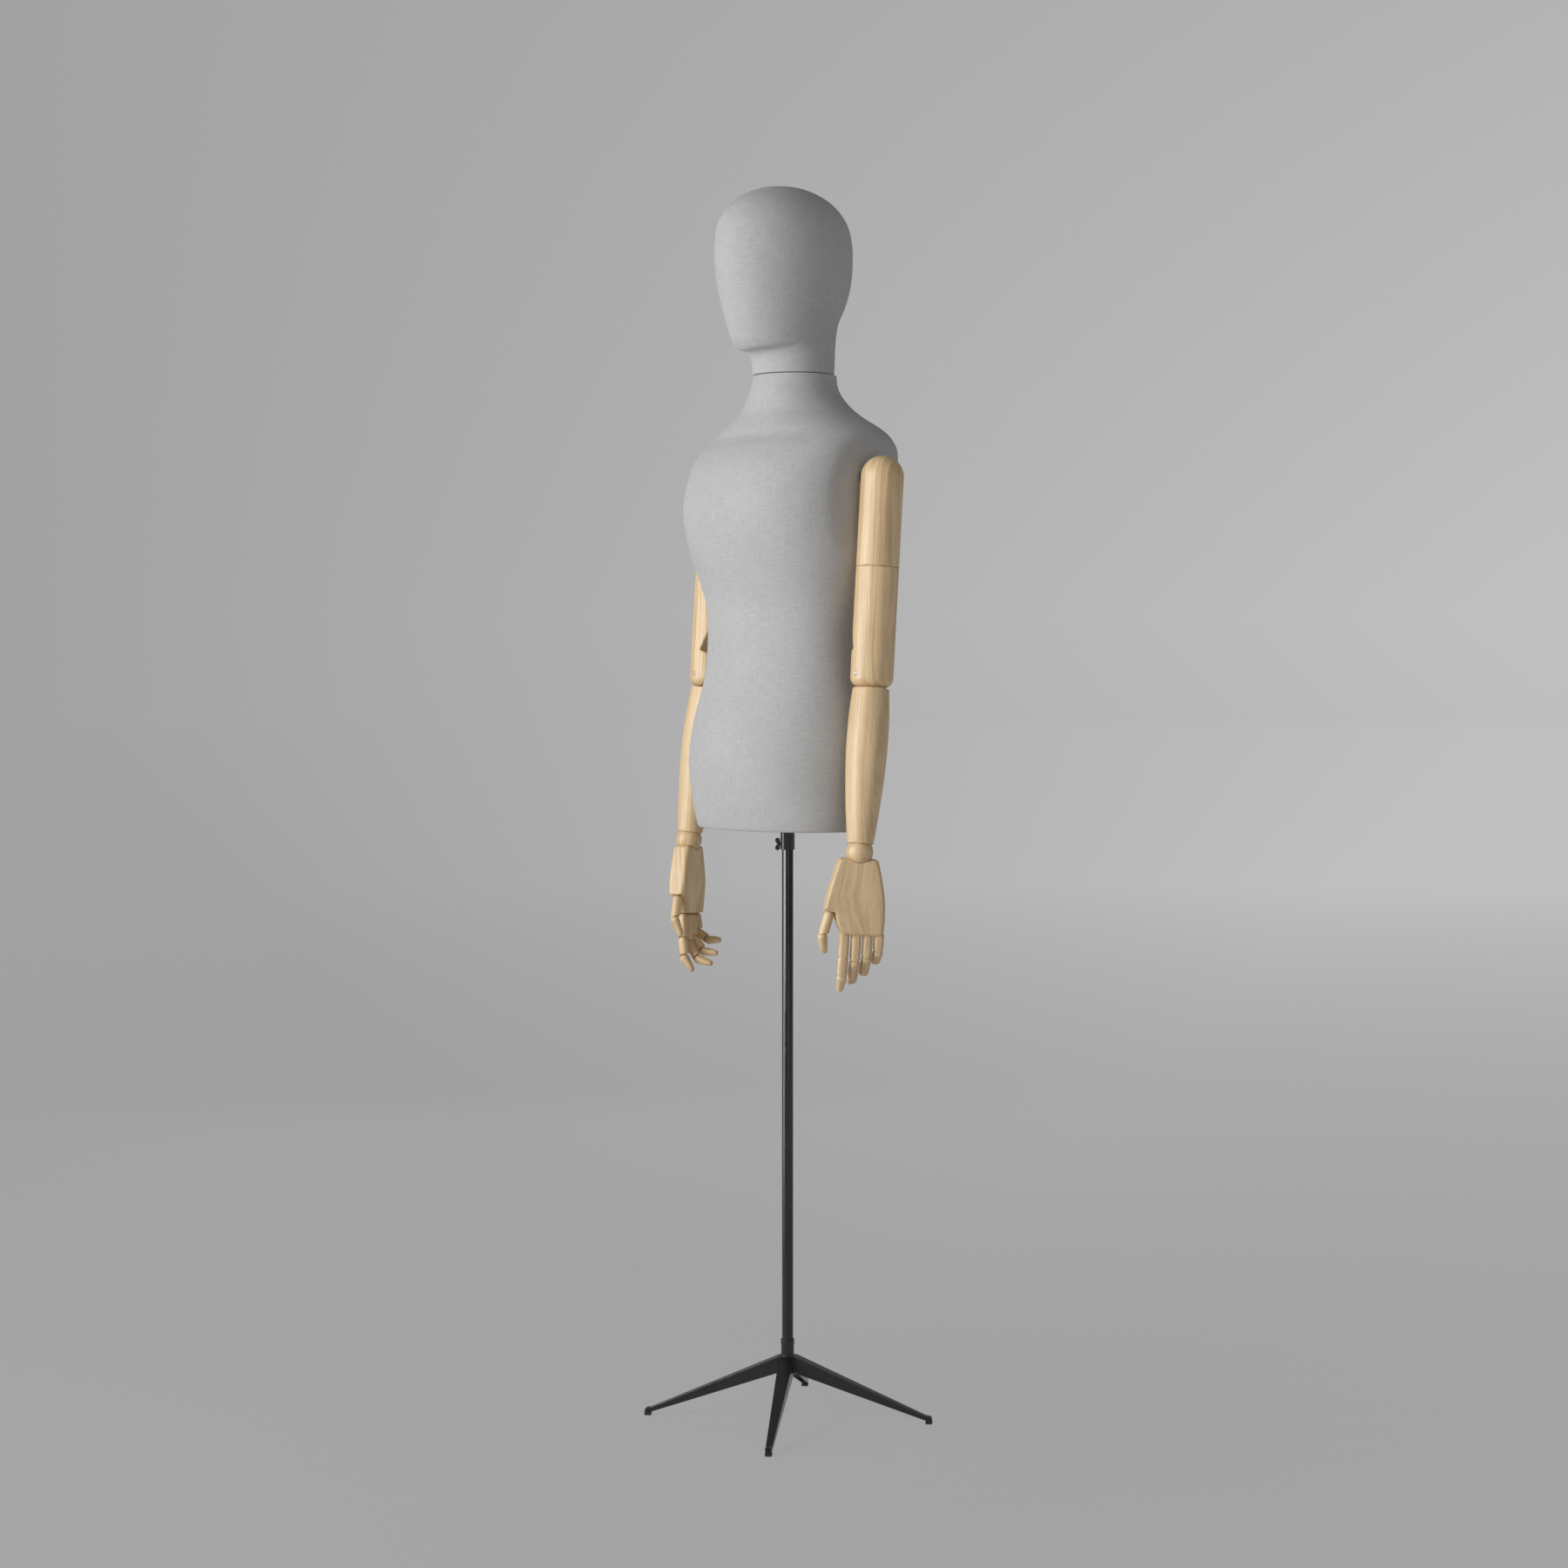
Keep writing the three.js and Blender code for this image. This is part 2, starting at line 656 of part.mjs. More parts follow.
// The forearm hangs from the pin by a flat tongue; tilt leans its turned body
// forward while the tongue stays square to the pin.
function forearm(length, tilt) {
  const end = -length + FOREARM_END_GAP;
  const rim = -RIM_DROP;
  const along = (share) => rim + (end - rim) * share;
  const outline = new THREE.SplineCurve([
    new THREE.Vector2(18.2, along(1)),
    new THREE.Vector2(23.6, along(0.76)),
    new THREE.Vector2(26.9, along(0.56)),
    new THREE.Vector2(28.4, along(0.35)),
    new THREE.Vector2(27.2, along(0.13)),
    new THREE.Vector2(25, along(0)),
  ]);
  const curve = outline.getPoints(12).map((point) => [point.x, point.y]);
  const body = turned([[0, end], ...curve, [0, rim]]);
  const socket = new THREE.SphereGeometry(BALL_RADIUS + GAP, ROUND, 12);
  const outlinePlate = shapeOf([
    ...arc(TONGUE_RADIUS, 0, 180, 10),
    [-TONGUE_RADIUS, rim - 6],
    [TONGUE_RADIUS, rim - 6],
  ]);
  const tongue = plateAlongY(outlinePlate, TONGUE_HALF);
  const turnedBody = solid(body.clone()).subtract(solid(socket.translate(0, 0, -length)));
  const leaned = solid(geometryOf(turnedBody).rotateX(tilt));
  const bore = rodAlongY(PIN_RADIUS + GAP, -40, 40, 12);
  return leaned.add(solid(tongue)).subtract(solid(bore));
}

function wristBall() {
  return new THREE.SphereGeometry(BALL_RADIUS, SMALL_ROUND, 10).rotateX(Math.PI / 2);
}

// ------------------------------------------------------------------------------ hands

// The palm is a flat block drawn from the back of the hand, thumb side at -Y.
// Its thickness follows a second outline drawn from the side.
function palm() {
  const edge = 4;
  const face = new THREE.Shape();
  face.moveTo(-28, PALM_TOP);
  face.quadraticCurveTo(-41, -48, -45.5, -80);
  face.lineTo(-31.5, -85);
  face.bezierCurveTo(-28, -94, -26, -108, -17, KNUCKLE_LINE);
  face.lineTo(37.5, KNUCKLE_LINE);
  face.quadraticCurveTo(40.5, -93, 37.5, -66);
  face.quadraticCurveTo(33, -36, 25, PALM_TOP);
  const block = new THREE.ExtrudeGeometry(face, {
    depth: PALM_THICKNESS - 2 * edge,
    bevelThickness: edge,
    bevelSize: edge,
    bevelOffset: -edge,
    bevelSegments: 2,
    curveSegments: 5,
  });
  block.translate(0, 0, edge - PALM_THICKNESS / 2).applyMatrix4(drawnFromSide);
  const side = shapeOf([
    [-12.5, PALM_TOP + 3],
    [-13.5, -60],
    [-9, KNUCKLE_LINE - 3],
    [9, KNUCKLE_LINE - 3],
    [13.5, -60],
    [12.5, PALM_TOP + 3],
  ]);
  const thickness = plateAlongY(side, 60);
  const socket = new THREE.SphereGeometry(BALL_RADIUS + GAP, ROUND, 12);
  const knuckles = rodAlongY(FINGER_HALF + GAP, -24, 60, 12).translate(0, 0, KNUCKLE_LINE);
  const relief = box(-30, 0, -24, 60, KNUCKLE_LINE - 10, KNUCKLE_LINE + FINGER_HALF + GAP);
  const thumbSeat = thumbFrame(rodAlongY(FINGER_HALF + GAP, -12, 12, 12));
  const thumbRelief = thumbFrame(box(-9, 9, -9, 9, -12, 0));
  return solid(block)
    .intersect(solid(thickness))
    .subtract(solid(socket))
    .subtract(solid(knuckles))
    .subtract(solid(relief))
    .subtract(solid(thumbSeat))
    .subtract(solid(thumbRelief));
}

// Places a geometry given in the thumb's frame into the palm's frame.
function thumbFrame(geometry) {
  return geometry.applyMatrix4(thumbMatrix());
}

function thumbMatrix() {
  const spread = new THREE.Matrix4().makeRotationX(rad(-THUMB_SPREAD));
  const turn = new THREE.Matrix4().makeRotationZ(rad(THUMB_TURN));
  return new THREE.Matrix4().setPosition(THUMB_BASE).multiply(spread).multiply(turn);
}

// A ring of a finger: a square with cut corners.
function fingerRing(height, scale) {
  const half = (FINGER_WIDTH / 2) * scale;
  const flat = half - 2.6 * scale;
  const thick = FINGER_HALF * scale;
  const thickFlat = thick - 2.6 * scale;
  return [
    [thick, -flat],
    [thick, flat],
    [thickFlat, half],
    [-thickFlat, half],
    [-thick, flat],
    [-thick, -flat],
    [-thickFlat, -half],
    [thickFlat, -half],
  ].map(([x, y]) => new THREE.Vector3(x, y, height));
}

// A finger piece hangs from its knuckle at the origin. Unless it is the tip,
// its end is hollowed for the next knuckle and cut back on the palm side.
function fingerPiece(length, isTip) {
  const shaft = isTip
    ? [fingerRing(-length, 0.4), fingerRing(-length + 1.8, 0.62), fingerRing(-length + 7, 0.78)]
    : [fingerRing(-length, 1)];
  const body = solid(loft([...shaft, fingerRing(0, 1)]));
  const knuckle = rodAlongY(FINGER_HALF, 0.8 - FINGER_WIDTH / 2, FINGER_WIDTH / 2 - 0.8, 12);
  const joined = body.add(solid(knuckle));
  if (isTip) return joined;
  const half = FINGER_WIDTH;
  const hollow = rodAlongY(FINGER_HALF + GAP, -half, half, 12).translate(0, 0, -length);
  const relief = box(-half, 0, -half, half, -length - 1, -length + FINGER_HALF + GAP);
  return joined.subtract(solid(hollow)).subtract(solid(relief));
}

// Adds a chain of finger pieces to a group, each turned on the one before.
function fingerChain(name, side, lengths, curls) {
  const root = new THREE.Group();
  let joint = root;
  lengths.forEach((length, i) => {
    joint.rotation.y = rad(curls[i]);
    const isTip = i === lengths.length - 1;
    joint.add(piece(`${name}_${i + 1}_${side}`, fingerPiece(length, isTip), beech()));
    const next = new THREE.Group();
    next.position.z = -length;
    joint.add(next);
    joint = next;
  });
  return root;
}

function hand(side) {
  const group = new THREE.Group();
  group.position.copy(WRIST);
  group.rotation.set(rad(-HAND_LEAN), 0, rad(-HAND_TURN), "ZYX");
  group.add(piece(`palm_${side}`, palm(), beech()));
  for (const { name, side: across, lengths, curls } of FINGERS) {
    const finger = new THREE.Group();
    finger.position.set(0, across, KNUCKLE_LINE);
    finger.add(fingerChain(name, side, lengths, curls));
    group.add(finger);
  }
  const thumb = new THREE.Group();
  thumb.applyMatrix4(thumbMatrix());
  thumb.add(fingerChain("thumb", side, THUMB_LENGTHS, [0, THUMB_CURL]));
  group.add(thumb);
  return group;
}

// The left arm; the right one is its mirror image.
function arm(side) {
  const group = new THREE.Group();
  group.add(piece(`shoulder_mount_${side}`, shoulderMount(), blackMetal()));

  const down = ELBOW.clone().sub(SHOULDER);
  const armLength = down.length();
  const armTilt = Math.atan2(down.y, -down.z);
  const upper = new THREE.Group();
  upper.position.copy(SHOULDER);
  upper.rotation.x = armTilt;
  upper.add(piece(`upper_arm_top_${side}`, upperArmTop(), beech()));
  upper.add(piece(`upper_arm_bottom_${side}`, upperArmBottom(armLength), beech()));
  const pin = piece(`elbow_pin_${side}`, elbowPin(), steel());
  pin.position.z = -armLength;
  upper.add(pin);

  const reach = WRIST.clone().sub(ELBOW).applyAxisAngle(X_AXIS, -armTilt);
  const flare = Math.atan2(reach.x, -reach.z);
  const lean = Math.asin(reach.y / reach.length());
  const lower = new THREE.Group();
  lower.position.z = -armLength;
  lower.rotation.y = -flare;
  lower.add(piece(`forearm_${side}`, forearm(reach.length(), lean), beech()));
  upper.add(lower);
  group.add(upper);

  const ball = piece(`wrist_ball_${side}`, wristBall(), beech());
  ball.position.copy(WRIST);
  group.add(ball);
  group.add(hand(side));
  return group;
}

// --------------------------------------------------------------------------- assembly

const mannequin = new THREE.Group();
mannequin.add(baseHub(), post(), postCap(), clampCollar(), wingScrew());
LEG_NAMES.forEach((name, i) => {
  mannequin.add(leg(name, LEG_ANGLES[i]), footGlide(name, LEG_ANGLES[i]));
});
mannequin.add(torsoShell(), bottomBoard(), neckCap(), neckPeg(), head());
mannequin.add(arm("left"));
const rightArm = arm("right");
rightArm.scale.x = -1;
mannequin.add(rightArm);

export default mannequin;
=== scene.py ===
"""A linen-covered display mannequin with jointed wooden arms on a black steel stand.

Every shape is worked out in millimetres, in the frame of the CAD model: +Z up, the
front of the body towards -Y, its left arm at +X. Left-hand pieces are built once and
mirrored for the right.
"""

import json
import math
import random

import bpy
import numpy as np
from mathutils import Matrix, Vector


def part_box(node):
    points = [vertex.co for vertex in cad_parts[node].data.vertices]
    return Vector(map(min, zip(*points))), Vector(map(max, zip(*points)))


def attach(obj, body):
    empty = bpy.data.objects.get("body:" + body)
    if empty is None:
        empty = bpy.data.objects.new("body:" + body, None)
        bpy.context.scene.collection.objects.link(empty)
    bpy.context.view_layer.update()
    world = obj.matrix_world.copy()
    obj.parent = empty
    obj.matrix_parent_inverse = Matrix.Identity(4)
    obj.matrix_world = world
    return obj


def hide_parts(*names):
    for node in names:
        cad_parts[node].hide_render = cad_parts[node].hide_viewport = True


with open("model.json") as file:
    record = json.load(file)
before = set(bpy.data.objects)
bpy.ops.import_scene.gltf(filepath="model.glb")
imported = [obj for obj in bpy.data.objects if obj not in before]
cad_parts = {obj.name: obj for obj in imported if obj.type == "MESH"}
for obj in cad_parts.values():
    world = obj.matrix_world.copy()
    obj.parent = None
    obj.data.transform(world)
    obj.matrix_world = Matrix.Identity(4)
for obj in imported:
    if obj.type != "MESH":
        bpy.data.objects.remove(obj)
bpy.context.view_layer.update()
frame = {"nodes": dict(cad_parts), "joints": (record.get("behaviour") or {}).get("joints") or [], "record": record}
NODES = frame["nodes"]
JOINTS = {joint["name"]: joint for joint in frame["joints"]}
MM = 0.001
SIDES = ("left", "right")

# ------------------------------------------------------------------ driving dimensions

GAP = 0.35  # clearance between pieces that touch

SHOULDER = Vector(JOINTS["shoulder_swing_left"]["pos_m"]) / MM
ELBOW = Vector(JOINTS["elbow_left"]["pos_m"]) / MM
WRIST = Vector(JOINTS["wrist_bend_left"]["pos_m"]) / MM

ARM_RADIUS = 29.5
ARM_SEAM_DROP = 123.8
ELBOW_END_DROP = 18.5
ELBOW_CORNER = 13.0
ELBOW_BLOCK_RADIUS = 35.0
NOTCH_DEPTH = 20.2
NOTCH_TOP = 88.0
DOWEL_RADIUS = 8.0
DOWEL_LENGTH = 38.0
BORE_GAP = 0.9  # room round a dowel or a peg in its bore
PEG_SETBACK = 6.0  # from the arm's axis to the end of the shoulder peg
PEG_NECK_RADIUS = 6.0  # where the shoulder peg goes through the armhole
MOUNT_FLANGE_RADIUS = 12.0  # behind the armhole
MOUNT_DISC_RADIUS = 14.0
MOUNT_DISC_THICKNESS = 2.6
POCKET_HALF = 25.5
RIM_DROP = 20.0
TONGUE_HALF = 9.0
TONGUE_RADIUS = 20.0
PIN_RADIUS = 2.5
FOREARM_END_GAP = 11.0
# Radius, and share of the way from the elbow's rim to the wrist, from the wrist up.
FOREARM_TURNING = ((18.2, 1), (23.6, 0.76), (26.9, 0.56), (28.4, 0.35), (27.2, 0.13), (25, 0))
BALL_RADIUS = 18.7
SIDE_PLATE = 155.0  # from the middle of the body to an armhole's flat
PLATE_BLEND = 2.5
PLATE_FOOT = 1205.0  # height below which the flat starts to let go of the side
PLATE_FADE = 60.0
PLATE_FLARE = 14.0

HAND_TURN = 30.4
HAND_LEAN = 3.0
PALM_TOP = -9.0
KNUCKLE_LINE = -114.6
FINGER_HALF_WIDTH = 7.0
FINGER_HALF = 6.3
FINGER_ROUNDING = 5.4
TIP_ROUNDING = 2.6
PALM_ROUNDING = 5.2
# Name, place across the palm, lengths of the pieces, and degrees that each is curled.
FINGERS = (
    ("index", -15.0, (34, 26, 23), (0, 8, 28)),
    ("middle", 1.5, (39, 28, 23), (3, 34, 38)),
    ("ring", 17.5, (32.5, 25, 22), (5, 40, 40)),
    ("little", 33.0, (24, 20, 19), (10, 50, 32)),
)
THUMB_BASE = Vector((0, -38, -88))
THUMB_LENGTHS = (31, 25)
THUMB_SPREAD = 13
THUMB_TURN = -50
THUMB_CURL = 32

POST_RADIUS = 8.0
POST_BORE = 6.5
POST_TOP = 1150.0
COLLAR_RADIUS = 10.2
FLANGE_RADIUS = 32.0
FLANGE_THICKNESS = 3.5
HUB_HALF = 12.25
HUB_TOP = 92.0
SOCKET_RADIUS = 9.25
SOCKET_RIM = 8.0
SCREW_START = 10.3  # from the post's axis, just clear of the collar
EAR_RADIUS = 3.5
EAR_SPREAD = 5.4
EAR_REACH = 14.4  # from the post's axis to the middle of an ear
EAR_HALF_THICKNESS = 1.5
SHANK_RADIUS = 2.2

TORSO_BOTTOM = 849.0
NECK_SEAM = 1490.0
HEAD_TOP = 1754.0
NECK_AXIS_BACK = 10.2
HEAD_BORE_RADIUS = 12.4
HEAD_BORE_DEPTH = 53.0
SHELL_WALL = 5.0
LIP = 1.1  # rounding where the covers meet at the neck
HEM = 2.4  # rounding of the torso's bottom edge

# Height, half width, half depth, how far forward, and fullness of the corners.
TORSO_SECTIONS = (
    (849, 148.5, 103.5, 3, 2.2),
    (866, 151.5, 107.5, 3.5, 2.2),
    (900, 154, 114.5, 4, 2.2),
    (944, 155, 121.5, 3, 2.2),
    (1000, 150, 116, 1, 2.2),
    (1060, 139, 100, 0, 2.2),
    (1125, 134, 94, 0, 2.2),
    (1165, 137, 95, 0, 2.2),
    (1200, 147, 105, 0, 2.2),
    (1235, 157, 114, 2, 2.25),
    (1270, 159.5, 121, 4, 2.3),
    (1305, 160.8, 123.5, 3, 2.4),
    (1335, 160.5, 122.5, -3, 2.45),
    (1361, 160, 120, -11, 2.5),
    (1385, 158, 109, -17.5, 2.5),
    (1400, 151, 97, -20.5, 2.4),
    (1412, 136, 90, -19.5, 2.3),
    (1424, 116, 81, -17, 2.2),
    (1437, 95, 73, -16, 2.1),
    (1451, 78, 67.5, -14, 2.05),
    (1467, 65.5, 63, -12, 2),
    (1478, 60.8, 60.2, -12.4, 2),
    (1489.4, 59.4, 59.4, -12.9, 2),
)
HEAD_SECTIONS = (
    (1490.4, 57.6, 57.6, -10.2, 2),
    (1508, 58, 60, -9.9, 2),
    (1516, 59.5, 62.5, -8, 2),
    (1520, 60, 65, -6.5, 2),
    (1525, 61, 74, -0.5, 2),
    (1533, 62, 78.5, 3.1, 2),
    (1553, 65.5, 85.5, 6, 2),
    (1580, 71, 93.5, 7, 2),
    (1616, 78, 103, 6.5, 2),
    (1656, 81, 106.5, 6.7, 2),
    (1680, 80, 105, 6.8, 2),
    (1701, 76.5, 100, 8, 2),
    (1718, 68.5, 89.5, 8.8, 2),
    (1731, 58, 76, 9, 2),
    (1742, 43.5, 57, 9.1, 2),
    (1750, 26, 34, 9.4, 2),
    (1753.2, 11, 14, 9.5, 2),
    (1754, 0.6, 0.8, 9.5, 2),
)
JAW_SLOPE = 0.2
JAW_HEIGHT = 1522.0
JAW_FRONT = 60.0
JAW_FADE_BELOW = 30.0
JAW_FADE_ABOVE = 75.0
JAW_SOFTNESS = 13.0
SHARP_EDGE = math.radians(50)
BEVEL_ANGLE = math.radians(32)
BEVEL_WIDTH = 0.5
WELD_REACH = 0.01
FAR = 60.0  # beyond any arm piece, for the outer corners of cuts

# Distance between mesh points.
ARM_CELL = 1.5
PALM_CELL = 1.1
FINGER_CELL = 0.85
HUB_CELL = 0.9
SCREW_CELL = 0.42

# Colours, all in linear light.
LINEN_SHADES = (0.37, 0.37, 0.372), (0.53, 0.53, 0.532)
TIMBER_SHADES = (0.80, 0.60, 0.355), (0.47, 0.30, 0.14)
FLECK_SHADE = (0.36, 0.225, 0.11)
PAINT_SHADES = (0.008, 0.008, 0.009), (0.014, 0.014, 0.015)
STEEL_SHADES = (0.5, 0.5, 0.5), (0.7, 0.7, 0.69)
BACKDROP_SHADES = (0.36, 0.36, 0.36), (0.53, 0.53, 0.53)
AMBIENT_SHADE = (0.195, 0.195, 0.195, 1)
WEAVE_PITCH = 1.4


# --------------------------------------------------------------------------- materials


class Nodes:
    """A node tree, with short ways to add and join nodes."""

    def __init__(self, tree):
        self.tree = tree

    def node(self, kind, **settings):
        made = self.tree.nodes.new(kind)
        for key, value in settings.items():
            setattr(made, key, value)
        return made

    def plug(self, value, socket):
        if isinstance(value, bpy.types.NodeSocket):
            self.tree.links.new(value, socket)
        else:
            socket.default_value = value

    def attribute(self, name):
        return self.node("ShaderNodeAttribute", attribute_name=name).outputs["Vector"]

    def maths(self, operation, a, b=0.0, clamp=False):
        made = self.node("ShaderNodeMath", operation=operation, use_clamp=clamp)
        self.plug(a, made.inputs[0])
        self.plug(b, made.inputs[1])
        return made.outputs[0]

    def split(self, vector):
        made = self.node("ShaderNodeSeparateXYZ")
        self.plug(vector, made.inputs[0])
        return made.outputs

    def vector(self, x, y, z):
        made = self.node("ShaderNodeCombineXYZ")
        for value, socket in zip((x, y, z), made.inputs):
            self.plug(value, socket)
        return made.outputs[0]

    def scaled(self, vector, scale):
        made = self.node("ShaderNodeVectorMath", operation="MULTIPLY")
        self.plug(vector, made.inputs[0])
        made.inputs[1].default_value = scale
        return made.outputs[0]

    def noise(self, vector, scale=1.0, detail=2.0, roughness=0.5):
        made = self.node("ShaderNodeTexNoise")
        self.plug(vector, made.inputs["Vector"])
        made.inputs["Scale"].default_value = scale
        made.inputs["Detail"].default_value = detail
        made.inputs["Roughness"].default_value = roughness
        return made.outputs["Fac"]

    def span(self, value, low, high, to_low=0.0, to_high=1.0):
        made = self.node("ShaderNodeMapRange")
        made.clamp = True
        self.plug(value, made.inputs["Value"])
        for key, number in zip(("From Min", "From Max", "To Min", "To Max"),
                               (low, high, to_low, to_high)):
            made.inputs[key].default_value = number
        return made.outputs["Result"]

    def mix(self, share, first, second):
        made = self.node("ShaderNodeMix", data_type="RGBA")
        self.plug(share, made.inputs["Factor"])
        for value, socket in ((first, made.inputs[6]), (second, made.inputs[7])):
            self.plug(value if isinstance(value, bpy.types.NodeSocket) else (*value, 1), socket)
        return made.outputs[2]


class Shader(Nodes):
    """A material with one main surface node."""

    def __init__(self, name, base, roughness, **sockets):
        self.material = bpy.data.materials.new(name)
        self.material.use_nodes = True
        super().__init__(self.material.node_tree)
        self.surface = self.tree.nodes["Principled BSDF"]
        self.surface.inputs["Base Color"].default_value = (*base, 1)
        self.surface.inputs["Roughness"].default_value = roughness
        for socket, value in sockets.items():
            self.surface.inputs[socket.replace("_", " ")].default_value = value

    def bump(self, height, distance, strength):
        made = self.node("ShaderNodeBump")
        made.inputs["Strength"].default_value = strength
        made.inputs["Distance"].default_value = distance
        self.plug(height, made.inputs["Height"])
        self.plug(made.outputs["Normal"], self.surface.inputs["Normal"])

    def colour(self, value):
        self.plug(value, self.surface.inputs["Base Color"])

    def roughness(self, value):
        self.plug(value, self.surface.inputs["Roughness"])


def linen():
    """A plain weave with slubs. The weave attribute counts millimetres round and up."""
    s = Shader("linen", (0.5, 0.5, 0.5), 0.9, Sheen_Weight=0.1, Sheen_Roughness=0.5,
               Specular_IOR_Level=0.2)
    place = s.attribute("weave")
    wander = s.maths("MULTIPLY", s.maths("SUBTRACT", s.noise(place, 0.02), 0.5), 4.0)
    across, up, seed = s.split(place)
    across = s.maths("ADD", across, wander)
    up = s.maths("ADD", up, wander)
    warp = s.maths("SINE", s.maths("MULTIPLY", across, math.pi / WEAVE_PITCH))
    weft = s.maths("SINE", s.maths("MULTIPLY", up, math.pi / WEAVE_PITCH))
    over = s.maths("GREATER_THAN", s.maths("MULTIPLY", warp, weft), 0.0)
    threads = s.maths(
        "ADD",
        s.maths("MULTIPLY", s.maths("ABSOLUTE", warp), over),
        s.maths("MULTIPLY", s.maths("ABSOLUTE", weft), s.maths("SUBTRACT", 1.0, over)),
    )

    def slubs(along, length, through, width):
        first, second = s.maths("DIVIDE", along, length), s.maths("DIVIDE", through, width)
        return s.noise(s.vector(first, second, seed), 1.0, 2.0, 0.6)

    tone = s.maths("ADD", s.span(slubs(across, 17.0, up, 1.8), 0.28, 0.72, -0.5, 0.5),
                   s.span(slubs(up, 21.0, across, 1.9), 0.28, 0.72, -0.4, 0.4))
    broad = s.span(s.noise(place, 0.012, 2.0), 0.3, 0.7, -0.07, 0.07)
    shade = s.maths("ADD", s.maths("MULTIPLY", tone, 0.5), broad)
    shade = s.maths("ADD", shade, s.maths("MULTIPLY", threads, 0.3))
    shade = s.maths("ADD", shade, 0.38, clamp=True)
    s.colour(s.mix(shade, *LINEN_SHADES))
    height = s.maths("ADD", s.maths("MULTIPLY", threads, 0.5), tone)
    s.bump(height, 0.3 * MM, 0.8)
    return s.material


def beech(name="beech", carved=True):
    """Pale timber. The grain attribute counts millimetres from the pith, along the third axis.

    A board that isn't carved takes its grain along X from where it lies in the frame.
    """
    s = Shader(name, (0.7, 0.5, 0.3), 0.45, Coat_Weight=0.1, Coat_Roughness=0.35)
    if carved:
        place = s.attribute("grain")
    else:
        metres = s.node("ShaderNodeTexCoord").outputs["Object"]
        x, y, z = s.split(s.scaled(metres, (1 / MM, 1 / MM, 1 / MM)))
        place = s.vector(s.maths("ADD", z, 70.0), y, x)
    x, y, along = s.split(place)
    drift = s.noise(s.scaled(place, (0.02, 0.02, 0.004)), 1.0, 2.0)
    wave = s.maths("MULTIPLY", s.maths("SUBTRACT", drift, 0.5), 24.0)
    squares = s.maths("ADD", s.maths("MULTIPLY", x, x), s.maths("MULTIPLY", y, y))
    radius = s.maths("ADD", s.maths("SQRT", squares), wave)

    def bands(width, length, detail):
        return s.noise(s.vector(s.maths("DIVIDE", radius, width), s.maths("DIVIDE", y, 40.0),
                                s.maths("DIVIDE", along, length)), 1.0, detail, 0.6)

    wide = s.span(bands(7.0, 420.0, 2.0), 0.32, 0.68, -0.2, 0.2)
    narrow = s.span(bands(1.9, 260.0, 3.0), 0.3, 0.7, -0.34, 0.34)
    fibres = s.noise(s.scaled(place, (1.3, 1.3, 0.022)), 1.0, 3.0, 0.6)
    cloud = s.noise(s.scaled(place, (0.03, 0.03, 0.012)), 1.0, 1.0)
    tone = s.maths("ADD", s.maths("ADD", wide, narrow), s.span(fibres, 0.3, 0.7, -0.18, 0.18))
    tone = s.maths("ADD", tone, s.span(cloud, 0.3, 0.7, 0.26, 0.48), clamp=True)
    timber = s.mix(tone, *TIMBER_SHADES)
    flecks = s.noise(s.scaled(place, (2.6, 2.6, 0.16)), 1.0, 1.0)
    s.colour(s.mix(s.span(flecks, 0.66, 0.76, 0.0, 0.4), timber, FLECK_SHADE))
    s.roughness(s.span(fibres, 0.3, 0.7, 0.4, 0.52))
    s.bump(s.maths("ADD", fibres, s.maths("MULTIPLY", flecks, 0.4)), 0.06 * MM, 0.6)
    return s.material


def black_metal():
    """Satin black paint, with a faint ripple and a little rubbing."""
    s = Shader("black_metal", (0.009, 0.009, 0.01), 0.2, Specular_IOR_Level=0.7)
    place = s.node("ShaderNodeTexCoord").outputs["Object"]
    ripple = s.noise(place, 420.0, 2.0)
    rub = s.noise(place, 30.0, 3.0, 0.6)
    s.colour(s.mix(s.span(rub, 0.45, 0.8), *PAINT_SHADES))
    s.roughness(s.span(rub, 0.35, 0.75, 0.17, 0.26))
    s.bump(ripple, 0.02 * MM, 0.15)
    return s.material


def brushed_steel():
    """Bare steel with fine lines from turning."""
    s = Shader("brushed_steel", (0.6, 0.6, 0.6), 0.36, Metallic=1.0)
    place = s.node("ShaderNodeTexCoord").outputs["Object"]
    lines = s.noise(s.scaled(place, (300.0, 4000.0, 4000.0)), 1.0, 3.0)
    s.colour(s.mix(lines, *STEEL_SHADES))
    s.roughness(s.span(lines, 0.3, 0.7, 0.3, 0.45))
    s.bump(lines, 0.02 * MM, 0.4)
    return s.material


def moulded(name, base, roughness):
    """A moulded rubber or plastic with a fine spark-eroded grain."""
    s = Shader(name, base, roughness)
    place = s.node("ShaderNodeTexCoord").outputs["Object"]
    grain = s.noise(place, 1800.0, 3.0)
    s.colour(s.mix(grain, base, tuple(1.9 * c for c in base)))
    s.bump(grain, 0.06 * MM, 0.5)
    return s.material


MATERIALS = {
    "linen": linen(),
    "wood": beech(),
    "black_metal": black_metal(),
    "steel": brushed_steel(),
    "rubber": moulded("rubber", (0.012, 0.012, 0.012), 0.8),
    "plastic": moulded("plastic", (0.02, 0.02, 0.021), 0.5),
}
SLOT_OF = {part["node"]: part["material_slot"] for part in frame["record"]["subparts"]}


# ------------------------------------------------------------------------ making meshes


